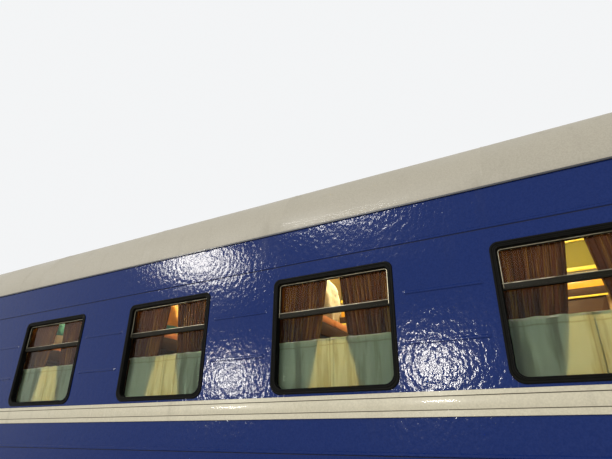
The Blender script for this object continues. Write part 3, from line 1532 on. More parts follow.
@dataclass
class Rooms:
    """Everything behind the windows: floor, partitions, berths with pads and linen, tables, trims and lamps."""

    wall_face: float = 0.5725
    upper_from: float = 2.3
    pillow: tuple[float, float] = (0.46, 0.40)
    bundle: tuple[float, ...] = (0.50, 0.27, 0.175, 0.52)
    near_bundles: tuple[tuple[int, tuple[float, ...]], ...] = (
        (6, (0.21, 0.15, 0.16, 0.40)),
        (8, (0.24, 0.16, 0.16, 0.40)),
    )
    lamp_cover: tuple[tuple[float, float], ...] = (
        (0.0, 0.0), (-0.055, 0.02), (-0.052, 0.07), (-0.04, 0.115), (-0.015, 0.14), (0.0, 0.145),
    )
    lamp_base: tuple[tuple[float, float], ...] = ((0.0, 0.145), (-0.01, 0.155), (0.02, 0.16), (0.02, 0.0))
    lamp_height: float = 4.16
    vestibule_lamp: tuple[float, float] = (11.24, 4.25)
    corridor_lamp: tuple[tuple[float, float], tuple[float, float], float] = ((0.96, 1.10), (3.375, 3.4065), 0.30)
    corridor_lamp_pitch: float = 2.25
    aisle_wall: float = 1.4875
    handrail: tuple[float, float] = (2.12, 0.014)
    heater: tuple[float, float, float, float] = (0.075, 0.002, 1.36, 1.62)
    runs: tuple[tuple[float, float], ...] = ((-10.66, -5.4), (-5.3, 0.0), (0.1, 5.4), (5.5, 10.66))

    def shell(self) -> None:
        """Gives floor, partitions and ceiling their sheets."""
        painted("floor", LINO)
        for node in ("cross_walls", "vestibule_walls", "corridor_wall"):
            painted(node, WALL)
        painted("corridor_ceiling", CEILING)

    def cushion(self, centre: Numbers, flat: Array, size: Numbers, bow: float, levels: Array) -> Array:
        """Rings of a cushion: an outline that pulls in between its corners, shrunk and raised from level to level.

        Args:
            centre: Middle of the cushion from above.
            flat: The outline about its middle.
            size: Sizes of the outline.
            bow: Share by which the middle of each side is drawn in, as the squared cosine of the place along it.
            levels: For each ring, its share of the outline and its height.

        Returns:
            The rings.
        """
        pull = 1 - bow * np.cos(pi * flat / size) ** 2
        return np.array([joined(*(flat * pull[:, ::-1] * share + centre).T, height) for share, height in levels])

    def pads(self) -> None:
        """Builds each mattress as a crowned cushion whose sides bulge by a quarter circle."""
        skin = Skin()
        levels = np.array(
            [(0.985, 0), (1, 0.2), (1, 0.72), (0.992, 0.86), (0.97, 0.93), (0.9, 0.965), (0.75, 0.985), (0.5, 0.997)]
            + [(0.2, 1)]
        )
        for box in solids("mattresses"):
            flat = outline(box.size[0] - 0.004, box.size[1] - 0.004, 0.05, 0.05, 7)
            sides = enumerate(zip(flat, np.roll(flat, -1, axis=0)))
            flat = np.concatenate([np.linspace(*ends, 5 if number % 7 == 6 else 2)[:-1] for number, ends in sides])
            raised = levels * (1, box.size[2] - 0.002) + (0, box.low[2] + 0.001)
            rings = self.cushion(box.centre[:2], flat, box.size[:2], 0.012, raised)
            skin.loft(rings, int(box.low[2] > self.upper_from))
        piece = skin.build("berth_pads", [SEAT, TICKING], "berth_fabric", ["mattresses"], 60.0)

    def linen(self) -> None:
        """Lays a pillow at the window end and a bundle of bedding beside it on each upper berth.

        A bundle is a stack of rings: an ellipse whose reach is a half sine of the height, times one plus small
        sines of the turn and less a crease wherever the sine of a slanting line comes near nought.
        """
        pillows, rolls = Skin(), Skin()
        levels = [(0.86, 0), (0.97, 0.02), (1, 0.045), (0.97, 0.075), (0.86, 0.10), (0.6, 0.118), (0.25, 0.124)]
        pillow = outline(*self.pillow, 0.06, 0.06, 7)
        turn, rise = np.linspace(0, 2 * pi, 49)[:-1], np.linspace(0.0, 1.0, 18)[:, None]
        upper = [box for box in solids("mattresses") if box.low[2] > self.upper_from]
        for number, box in enumerate(upper):
            x, start, foot = box.centre[0], box.low[1] + 0.03, box.high[2] - 0.004
            raised = np.array(levels) * (1, 1 + 0.08 * np.sin(number * 2.4)) + (0, foot)
            pillows.loft(self.cushion((x, start + 0.20), pillow, self.pillow, 0.05, raised))
            lumps = 1 + 0.07 * np.sin(3 * turn + number) + 0.06 * np.sin(5 * turn + 7 * rise + 2 * number)
            for count, slant, size in ((2.5, 5.0, 0.16), (3.5, -8.0, 0.11), (1.5, 13.0, 0.08)):
                lumps -= size * np.exp(-9 * np.abs(np.sin(count * turn + slant * rise + 1.7 * number)))
            wide = (0.5 + 0.5 * np.sin(pi * np.clip(rise * 0.78 + 0.08, 0, 1))) * lumps
            wide[-3:] *= np.array([0.93, 0.74, 0.20])[:, None]
            wide *= 1 + 0.05 * np.sin(9 * turn - 6 * rise + number)
            away, reach, shift, tall = dict(self.near_bundles).get(number, self.bundle)
            along = x + (shift if number % 2 == 0 else -shift) + 0.145 * wide * np.cos(turn)
            up = foot + (tall + 0.022 * np.sin(2 * turn + number)) * rise
            tone = np.zeros((17, 48), np.int32)
            if number % 6 == 2:
                tone[:6], tone[6:] = 1, 2
            elif number % 6 == 0:
                tone[9:] = 1
            rolls.loft(joined(along, start + away + reach * wide * np.sin(turn), up), tone.ravel())
        pillows.build("pillows", [LINEN], "berth_fabric", (), 60.0)
        rolls.build("bedding_bundles", [LINEN, TEAL, AMBER], "berth_fabric", (), 60.0)

    def trims(self) -> None:
        """Adds the luggage niche's lip, the panels over the doors, the door heads' strips and the berths' edges."""
        skin = Skin()
        walls = [box.centre[0] for box in solids("cross_walls") if box.low[1] < 0]
        starts, face = sorted(set(np.round(walls, 3)))[:10], self.wall_face
        strips = (
            (face - 0.030, face - 0.001, 3.448, 3.488, 0.005, 0),
            (face - 0.024, face - 0.001, 3.775, 3.800, 0.005, 0),
            (face - 0.010, face - 0.001, 3.4885, 3.7745, 0.003, 2),
            (face - 0.012, face - 0.001, 3.262, 3.345, 0.003, 1),
            (0.5030, 0.5125, 3.1702, 3.2440, 0.002, 3),
            (0.5010, 0.5125, 3.1500, 3.1700, 0.003, 0),
            (0.5030, face - 0.001, 3.2442, 3.2500, 0.001, 3),
        )
        for start, stop in zip(starts, starts[1:]):
            for near, far, foot, top, edge, tone in strips if stop - start > 1.5 else ():
                skin.block((start + 0.02, near, foot), (stop - 0.02, far, top), edge, tone=tone)
        middles = np.array([window.x for window in windows(Side.COMPARTMENTS)])
        for box in solids("berths"):
            x, toward = box.centre[0], np.sign(middles[np.abs(middles - box.centre[0]).argmin()] - box.centre[0])
            edge = x + toward * box.size[0] / 2
            bands = ((2.662, 2.7815, 0.002, 3), (2.7815, 2.846, 0.003, 4)) if box.low[2] > self.upper_from else ()
            for foot, top, rounding, tone in bands:
                low = (edge + toward * 0.0003, box.low[1] + 0.012, foot)
                skin.block(low, (edge + toward * 0.010, box.high[1] - 0.012, top), rounding, tone=tone)
        skin.build("compartment_trims", [YELLOW, ORANGE, OLIVE, DOOR, SALMON], "wall_laminate")

    def lamp(self, skin: Skin, spot: Numbers) -> None:
        """Turns a round lamp, its cover and its base."""
        for tone, profile in enumerate((self.lamp_cover, self.lamp_base)):
            skin.turned(profile, spot, Axis.UP, 28, tone)

    def lamps(self) -> None:
        """Hangs a round lamp under the arch of each compartment and vestibule, and longer ones along the corridor."""
        skin = Skin()
        for window in windows(Side.COMPARTMENTS):
            self.lamp(skin, (window.x, LAMPS_ACROSS, self.lamp_height))
        (near, far), (foot, top), half = self.corridor_lamp
        for x in np.arange(-9.0, 9.1, self.corridor_lamp_pitch):
            skin.block((x - half, near, foot), (x + half, far, top), 0.01, 0.03)
        for end in End:
            self.lamp(skin, (end * self.vestibule_lamp[0], 0.0, self.vestibule_lamp[1]))
        skin.build("ceiling_lamps", [LAMP_WARM, ALUMINIUM], "frame_aluminium")

    def fittings(self) -> None:
        """Adds heater covers, the corridor's handrail on its brackets, and the grips under the upper berths."""
        skin = Skin()
        inner, (height, bar), (near, far, foot, top) = self.aisle_wall, self.handrail, self.heater
        bracket = [(0.0, 0.0), (0.0, 0.02), (0.004, 0.02), (0.006, 0.007), (0.05, 0.007), (0.05, 0.0)]
        for start, stop in self.runs:
            skin.block((start, inner - near, foot), (stop, inner - far, top), 0.006)
            skin.tube(joined(np.linspace(start + 0.1, stop - 0.1, 12), inner - 0.06, height), bar, 10, tone=1)
            for x in np.linspace(start + 0.2, stop - 0.2, 5):
                skin.turned(bracket, (x, inner - 0.052, height), Axis.ACROSS, 12, 1)
        for box in solids("berths"):
            x, foot = box.centre[0], box.low[2]
            for y in (box.low[1] + 0.25, box.high[1] - 0.35) if foot > self.upper_from else ():
                skin.block((x - 0.04, y - 0.03, foot - 0.008), (x + 0.04, y + 0.03, foot + 0.001), 0.003, tone=1)
        skin.build("room_fittings", [BERTH, ALUMINIUM], "berth_brown")

    def build(self) -> None:
        """Finishes the rooms from the shell inwards."""
        self.shell()
        softened("berths", [BERTH], 0.010)
        softened("tables", [TABLE], 0.004)
        for job in (self.pads, self.linen, self.trims, self.lamps, self.fittings):
            job()


# Doors


@dataclass
class HingedDoor:
    """Hinged outer door: pressed leaf with a rubber-set pane, handle, kick plate and hinge knuckles."""

    node: str
    across: Axis
    thickness: float
    glass: tuple[float, float] = (0.42, 0.76)
    glass_sill: float = 0.95
    panel_depth: float = 0.004
    panel_slope: float = 0.02
    panel_inset: float = 0.10
    panel_foot: float = 0.12
    panel_below_sill: float = 0.13
    cell_margin: float = 0.045
    handle_reach: float = 0.034
    handle_inset: float = 0.075
    handle_height: float = 0.92
    handle_plate: tuple[float, float, float] = (0.022, 0.11, 0.07)
    handle_bar: float = 0.0075
    kick_inset: float = 0.05
    kick_heights: tuple[float, float] = (0.03, 0.10)
    pin_gap: float = 0.012
    low: Array = field(init=False)
    high: Array = field(init=False)
    level: Axis = field(init=False)
    out: int = field(init=False)
    face: float = field(init=False)

    def __post_init__(self) -> None:
        """Reads the leaf's box: the axis along it, the way out, and its outer face's distance from the middle."""
        self.low, self.high = (np.array(corner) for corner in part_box(self.node))
        self.level = Axis.ALONG if self.across == Axis.ACROSS else Axis.ACROSS
        self.out = 1 if self.low[self.across] > 0 else -1
        self.face = max(abs(self.low[self.across]), abs(self.high[self.across]))

    def place(self, flat: Array | float, up: Array | float, depth: Array | float) -> Array:
        """Carries points from the leaf's own frame into the row frame.

        Args:
            flat: Places along the leaf.
            up: Heights.
            depth: Depths behind the outer face.

        Returns:
            The points.
        """
        parts = {self.level: flat, Axis.UP: up, self.across: self.out * (self.face - depth)}
        return joined(*(parts[axis] for axis in Axis))

    def build(self) -> None:
        """Builds the leaf in its own flat frame and stands it in its opening."""
        start, stop, foot, top = self.low[self.level], self.high[self.level], self.low[2], self.high[2]
        (wide, tall), sill, slope = self.glass, foot + self.glass_sill, self.panel_slope
        x, z = (start + stop) / 2, sill + tall / 2
        left, right = start + self.panel_inset, stop - self.panel_inset
        down, up = foot + self.panel_foot, sill - self.panel_below_sill

        def relief(flat: Array, height: Array) -> Array:
            """Presses the lower panel in, with a slope along its edge."""
            inside = np.minimum.reduce([flat - left, right - flat, height - down, up - height])
            return -self.panel_depth * ramp(inside / slope) - 0.0004

        reach = wide / 2 + self.cell_margin, tall / 2 + self.cell_margin
        columns = [start, stop, left, left + slope, right - slope, right, x - reach[0], x + reach[0]]
        rows = [foot, top, down, down + slope, up - slope, up, z - reach[1], z + reach[1]]
        sheet = Sheet(spaced(columns, 0.06), spaced(rows, 0.06))
        sheet.cut([(x, z, wide, tall, 0.03, 0.03, self.cell_margin)])
        skin = Skin()
        sheet.solid(skin, self.place, relief, self.thickness)
        back = self.thickness
        gasket = [
            (-0.024, -0.0005), (-0.022, -0.006), (-0.012, -0.0075), (0.006, -0.0065), (0.010, 0.004),
            (0.010, back - 0.004), (0.006, back + 0.006), (-0.020, back + 0.006), (-0.022, back - 0.001),
            (-0.001, back - 0.001), (-0.001, -0.0005),
        ]
        loops = []
        for inset, depth in gasket:
            radius = 0.032 - 0.5 * inset
            flat, height = outline(wide - 2 * inset, tall - 2 * inset, radius, radius, 7).T
            loops.append(self.place(x + flat, z + height, depth))
        skin.grid(np.array(loops), around=True, closed=True, tone=2)
        flat, height = outline(wide - 0.012, tall - 0.012, 0.03, 0.03, 7).T
        skin.loft(np.array([self.place(x + flat, z + height, back / 2 + way) for way in (-0.003, 0.003)]), 3)
        self.hardware(skin, start, stop, foot)
        self.knuckles(skin)
        body = frame["nodes"][self.node]["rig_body"]
        finishes = [BLUE, WALL, SEAL, PANE, STEEL]
        skin.build(f"{self.node}_leaf", finishes, "blue_paint", [self.node], 40.0, body)

    def hardware(self, skin: Skin, start: float, stop: float, foot: float) -> None:
        """Adds the lever handle on its plate and the kick plate, inside and out.

        Args:
            skin: Where the surfaces go.
            start: One end of the leaf.
            stop: Its other end.
            foot: Its foot.
        """
        free = start if abs(start) < abs(stop) or self.across == Axis.ALONG else stop
        toward = 1 if free == start else -1
        x, z, reach = free + toward * self.handle_inset, foot + self.handle_height, self.handle_reach
        (half, below, above), (kick_foot, kick_top) = self.handle_plate, self.kick_heights
        bends = [(0.0, 0.0, 0.003), (0.0, 0.0, reach - 0.012), (0.010, 0.0, reach)]
        bends += [(0.06, -0.001, reach), (0.115, -0.004, reach - 0.004)]
        along, rise, out = np.array(bends).T
        for depth, sign in ((0.0, -1), (self.thickness, 1)):
            back = self.place(x - half, z - below, depth - sign * 0.002)
            skin.block(back, self.place(x + half, z + above, depth + sign * 0.004), 0.0018, 0.006, self.across, 4)
            skin.tube(self.place(x + toward * along, z + rise, depth + sign * out), self.handle_bar, 10, tone=4)
            back = self.place(start + self.kick_inset, foot + kick_foot, depth - sign * 0.001)
            face = self.place(stop - self.kick_inset, foot + kick_top, depth + sign * 0.0015)
            skin.block(back, face, 0.0007, 0.004, self.across, 4)

    def knuckles(self, skin: Skin) -> None:
        """Adds the two knuckles with their straps, where the CAD node has its own ones.

        Args:
            skin: Where the surfaces go.
        """
        points, _, _ = welded(self.node)
        spots = points[self.out * points[:, self.across] < self.face - self.thickness - 0.004]
        middle = (spots[:, 2].min() + spots[:, 2].max()) / 2
        for cluster in (spots[spots[:, 2] < middle], spots[spots[:, 2] >= middle]):
            low, high = cluster.min(0), cluster.max(0)
            x, tall = (low[self.level] + high[self.level]) / 2, high[2] - low[2]
            pin = self.place(x, low[2], self.thickness + self.pin_gap)
            barrel = [(0, 0), (0, 0.0095), (0.002, 0.011), (tall - 0.002, 0.011), (tall, 0.0095), (tall, 0)]
            skin.turned(barrel, pin, Axis.UP, 16, 4)
            strap = self.place(x + 0.0055, high[2], self.thickness - 0.001)
            skin.block(self.place(x - 0.0055, low[2], self.thickness + self.pin_gap), strap, 0.001, tone=4)


@dataclass
class SlidingDoor:
    """Compartment door: laminate leaf with edge strips, mirror, handle and grille, hung on its two hangers."""

    number: int
    head: float = 0.020
    mirror_inset: float = 0.14
    mirror_heights: tuple[float, float] = (0.62, 1.34)
    grille_inset: float = 0.15
    grille_foot: float = 0.12
    slats: int = 6
    slat_pitch: float = 0.028
    slat_height: float = 0.016
    pull_inset: float = 0.045

    @property
    def node(self) -> str:
        """Name of the CAD node and of the body."""
        return f"compartment_door_{self.number}"

    def build(self) -> None:
        """Builds the leaf, its hangers, and the mirror, grille and pulls on its faces."""
        points, _, _ = welded(self.node)
        (left, face, foot), (right, rear, top) = points.min(0), points.max(0)
        back = rear - self.head
        skin = Skin()
        skin.block((left, face, foot), (right, back, top), 0.003, axis=Axis.ACROSS)
        hooks = points[points[:, 1] > back + 0.005]
        middle = (left + right) / 2
        for cluster in (hooks[hooks[:, 0] < middle], hooks[hooks[:, 0] > middle]):
            a, b = cluster.min(0), cluster.max(0)
            skin.block((a[0], back - 0.002, a[2]), b, 0.002, tone=1)
        down, up = (foot + height for height in self.mirror_heights)
        low, high = (left + self.mirror_inset, face - 0.003, down), (right - self.mirror_inset, face + 0.001, up)
        skin.block(low, high, 0.001, 0.01, Axis.ACROSS, 2)
        for z in foot + self.grille_foot + self.slat_pitch * np.arange(self.slats):
            high = (right - self.grille_inset, face + 0.001, z + self.slat_height)
            skin.block((left + self.grille_inset, face - 0.005, z), high, 0.002, tone=1)
        x = left + self.pull_inset
        pulls = (
            (0.014, face - 0.004, face + 0.001, 0.86, 1.06, 0.008),
            (0.006, face - 0.0045, face - 0.001, 0.90, 1.02, 0.004),
            (0.014, back - 0.001, back + 0.003, 0.86, 1.06, 0.008),
        )
        for half, near, far, down, up, corner in pulls:
            skin.block((x - half, near, foot + down), (x + half, far, foot + up), 0.001, corner, Axis.ACROSS, 1)
        skin.build(f"{self.node}_leaf", [DOOR, ALUMINIUM, STEEL], "door_laminate", [self.node], 40.0, self.node)


# Ends


@dataclass
class CoachEnds:
    """End walls with ladders and tail lamps, the gangways' rubber rolls, couplers and buffers."""

    half_length: float = HALF_LENGTH
    lamp_height: float = 1.62
    lamp_place: float = 1.18
    rungs: int = 6
    lowest_rung: float = 1.42
    rung_pitch: float = 0.32
    rung_bar: float = 0.010
    threshold: tuple[float, float, float, float] = (0.40, 0.40, 1.285, 1.30)

    def walls(self) -> None:
        """Gives the end walls their paint."""
        for node in ("front_end_wall", "rear_end_wall"):
            softened(node, [BLUE], 0.0015)

    def fittings(self) -> None:
        """Adds tail lamps, a ladder of rungs at one corner of each end, and a threshold plate between the rolls."""
        skin = Skin()
        rim = np.array([(0, 0.085), (0.05, 0.082), (0.06, 0.076), (0.06, 0.066), (0.048, 0.064)])
        lens = np.array([(0.048, 0.065), (0.058, 0.05), (0.064, 0.02), (0.065, 0.0)])
        rung = np.array([(0, 1.02), (0.05, 1.02), (0.06, 1.03), (0.06, 1.34), (0.05, 1.35), (0, 1.35)])
        for end in End:
            face = end * self.half_length
            for side in (-1, 1):
                spot = np.array([face, side * self.lamp_place, self.lamp_height])
                for tone, profile in ((1, rim), (2, lens)):
                    skin.turned(profile * (end, 1), spot, Axis.ALONG, 28, tone)
                skin.bolts([spot + (0, a, b) for a in (-0.09, 0.09) for b in (-0.09, 0.09)], Axis.ALONG, end, 0.008, 1)
            for number in range(self.rungs):
                out, across = rung.T
                up = self.lowest_rung + self.rung_pitch * number
                skin.tube(joined(face + end * out, across, up), self.rung_bar)
            reach, half, foot, top = self.threshold
            skin.block((face, -half, foot), (face + end * reach, half, top), 0.003)
        skin.build("end_fittings", [CHASSIS, GUTTER_DARK, LAMP_RED], "cast_black")

    def rolls(self) -> None:
        """Builds each gangway roll as a stack of rounded rectangles that swells and pinches along its length.

        The inset is a cosine of eight periods, and a quarter circle rounds off both ends.
        """
        skin = Skin()
        way = np.linspace(0.0, 1.0, 61)
        pinch = 0.006 * (0.5 + 0.5 * np.cos(2 * pi * way * 8))
        ends = 0.035 * (1 - np.sqrt(1 - (1 - np.clip(np.minimum(way, 1 - way) / 0.02, 0, 1)) ** 2))
        for box in solids("gangways"):
            axis = Axis.UP if box.size[2] > box.size[1] else Axis.ACROSS
            low, high = seen_along(box.low, axis), seen_along(box.high, axis)
            along = low[2] + way * (high[2] - low[2])
            skin.loft(facing(stacked(low, high, zip(pinch + ends, np.full(61, 0.062), along), 6), axis))
        skin.build("gangway_rolls", [GANGWAY], "gangway_rubber", ["gangways"], 60.0)

    def buffers(self) -> None:
        """Turns each buffer: flange, ribbed barrel, polished ram and domed head, with four bolts on the flange."""
        skin = Skin()
        profile = np.array([
            (0, 0), (0, 0.110), (0.002, 0.1095), (0.03, 0.109), (0.034, 0.104), (0.20, 0.100), (0.21, 0.109),
            (0.262, 0.109), (0.27, 0.103), (0.27, 0.082), (0.40, 0.082), (0.495, 0.0815), (0.501, 0.09), (0.501, 0.215),
            (0.503, 0.2235), (0.509, 0.225), (0.518, 0.2235), (0.524, 0.19), (0.531, 0.12), (0.5345, 0.05), (0.535, 0),
        ])
        tone = np.repeat([1] * 9 + [0] * 11, 48)
        for box in solids("buffers"):
            end = 1 if box.centre[0] > 0 else -1
            seat = np.array([end * self.half_length, *box.centre[1:]])
            skin.turned(profile * (end, 1), seat, Axis.ALONG, 48, tone)
            spots = [seat + (end * 0.033, a, b) for a in (-0.074, 0.074) for b in (-0.074, 0.074)]
            skin.bolts(spots, Axis.ALONG, end, 0.012, 1)
        skin.build("buffers_turned", [BUFFER, CHASSIS], "buffer_steel", ["buffers"])

    def build(self) -> None:
        """Finishes both ends."""
        self.walls()
        self.fittings()
        self.rolls()
        self.buffers()
        softened("couplers", [CAST], 0.008)


# Underframe


@dataclass
class Underfloor:
    """Sills, beams, boxes with lids and vents, tanks with straps, pipes, steps and grab rails."""

    side_face: float = SIDE_FACE
    treads: tuple[float, ...] = (0.548, 0.818, 1.088)
    stand_outs: tuple[tuple[float, float], ...] = ((-0.004, 0.010), (0.008, 0.020), (0.006, 0.016))
    two_lids_from: float = 1.2
    lid_gaps: tuple[float, float] = (0.04, 0.05)
    hinge_inset: float = 0.12
    slot_inset: float = 0.15
    slots: int = 5
    slot_pitch: float = 0.04
    slot_height: float = 0.018
    pipe_runs: tuple[tuple[float, float, float], ...] = ((-0.27, 0.93, 0.021), (0.27, 0.93, 0.021), (0.33, 0.96, 0.016))
    pipe_end: float = 6.6
    clip_end: float = 6.3
    clip_pitch: float = 1.8
    sill_foot: float = 1.09

    def boxes(self) -> None:
        """Softens the boxes and adds framed lids, hinges, latches and louvres on their outer faces."""
        softened("underfloor_boxes", [CHASSIS], 0.008)
        skin = Skin()
        for number, box in enumerate(solids("underfloor_boxes")):
            side = 1 if box.centre[1] > 0 else -1
            face, length = max(abs(box.low[1]), abs(box.high[1])), box.size[0]
            foot, top = box.low[2], box.high[2]
            lids = 2 if length > self.two_lids_from else 1
            lid, hinge, slot = ((side * (face + near), side * (face + far)) for near, far in self.stand_outs)
            over, under = self.lid_gaps
            for place in range(lids):
                a = box.low[0] + 0.05 + place * (length - 0.06) / lids
                b = a + (length - 0.14) / lids
                skin.block((a, lid[0], foot + over), (b, lid[1], top - under), 0.004, 0.02, Axis.ACROSS)
                for x in (a + self.hinge_inset, b - self.hinge_inset):
                    skin.block((x - 0.02, hinge[0], top - 0.10), (x + 0.02, hinge[1], top - 0.03), tone=1)
                    skin.block((x - 0.012, hinge[0], foot + 0.05), (x + 0.012, hinge[1], foot + 0.12), tone=1)
                for z in foot + 0.16 + self.slot_pitch * np.arange(self.slots) if number % 2 else ():
                    low, high = (a + self.slot_inset, slot[0], z), (b - self.slot_inset, slot[1], z + self.slot_height)
                    skin.block(low, high)
        skin.build("box_lids", [CHASSIS, BOGIE_GREY], "chassis_black")

    def tanks(self) -> None:
        """Turns each air tank and puts two straps round it.

        The shoulder goes inwards by one less the sine of a turn while its radius grows with that sine's root.
        """
        skin = Skin()
        drain = [(0, 0), (0, 0.018), (0.02, 0.018), (0.024, 0.010), (0.04, 0.010), (0.04, 0)]
        dome = np.sin(np.linspace(0, pi / 2, 8))
        for box in solids("air_tanks"):
            (x, y, z), (length, width, _) = box.centre, box.size
            radius = width / 2
            left = joined(-length / 2 + 0.06 * (1 - dome), (radius - 0.002) * dome**0.5)
            skin.turned([*left, *(left[::-1] * (-1, 1))], box.centre, Axis.ALONG, 40)
            for place in (-0.45, 0.45):
                band = joined(place + np.array([-0.025, -0.025, 0.025, 0.025]), radius - np.array([0.004, 0, 0, 0.004]))
                skin.turned(band, box.centre, Axis.ALONG, 40, 1)
                low = (x + place - 0.02, y - 0.012, z + radius - 0.01)
                skin.block(low, (x + place + 0.02, y + 0.012, 1.085), 0.002, tone=1)
            skin.turned(drain, (x, y, z - radius - 0.038), Axis.UP, 10, 1)
        skin.build("air_tanks_turned", [CHASSIS, CAST], "chassis_black", ["air_tanks"])

    def pipes(self) -> None:
        """Runs the brake pipes along the centre sills, with a clip and a hanger at even steps."""
        skin = Skin()
        for y, z, radius in self.pipe_runs:
            skin.tube(joined(np.linspace(-self.pipe_end, self.pipe_end, 12), y, z), radius, 10)
            clip = [(-0.03, radius), (-0.03, radius + 0.008), (0.03, radius + 0.008), (0.03, radius)]
            for x in np.arange(-self.clip_end, self.clip_end + 0.1, self.clip_pitch):
                skin.turned(clip, (x, y, z), Axis.ALONG, 10, 1)
                skin.block((x - 0.012, y - 0.008, z), (x + 0.012, y + 0.008, self.sill_foot), 0.001, tone=1)
        skin.build("train_pipes", [CHASSIS, CAST], "chassis_black")

    def rails(self) -> None:
        """Gives the grab rails a bolted round flange on each foot."""
        painted("grab_rails", STEEL)
        skin = Skin()
        flange = np.array([(0, 0.036), (0.005, 0.035), (0.007, 0.030), (0.010, 0.019), (0.013, 0.014)])
        for box in solids("grab_rails"):
            side = 1 if box.centre[1] > 0 else -1
            for z in (box.low[2] + 0.014, box.high[2] - 0.014):
                spot = np.array([box.centre[0], side * self.side_face, z])
                skin.turned(flange * (side, 1), spot, Axis.ACROSS, 24)
                skin.bolts([spot + (a, side * 0.0055, 0) for a in (-0.024, 0.024)], Axis.ACROSS, side, 0.005)
        skin.build("grab_rail_flanges", [STEEL], "rail_steel")

    def steps(self) -> None:
        """Softens the entrance steps and lays raised bars on each tread."""
        softened("entrance_steps", [CHASSIS], 0.004)
        skin = Skin()
        for box in solids("entrance_steps"):
            for top in self.treads:
                for y in box.low[1] + np.linspace(0.06, 0.94, 9) * box.size[1]:
                    low = (box.low[0] + 0.03, y - 0.004, top - 0.001)
                    skin.block(low, (box.high[0] - 0.03, y + 0.004, top + 0.004), 0.0015)
        skin.build("step_bars", [BUFFER], "chassis_black")

    def build(self) -> None:
        """Finishes everything below the floor that rides on the body."""
        softened("underframe", [CHASSIS], 0.005)
        softened("floor_beams", [CHASSIS], 0.004)
        self.boxes()
        self.tanks()
        self.pipes()
        self.rails()
        self.steps()


# Bogies


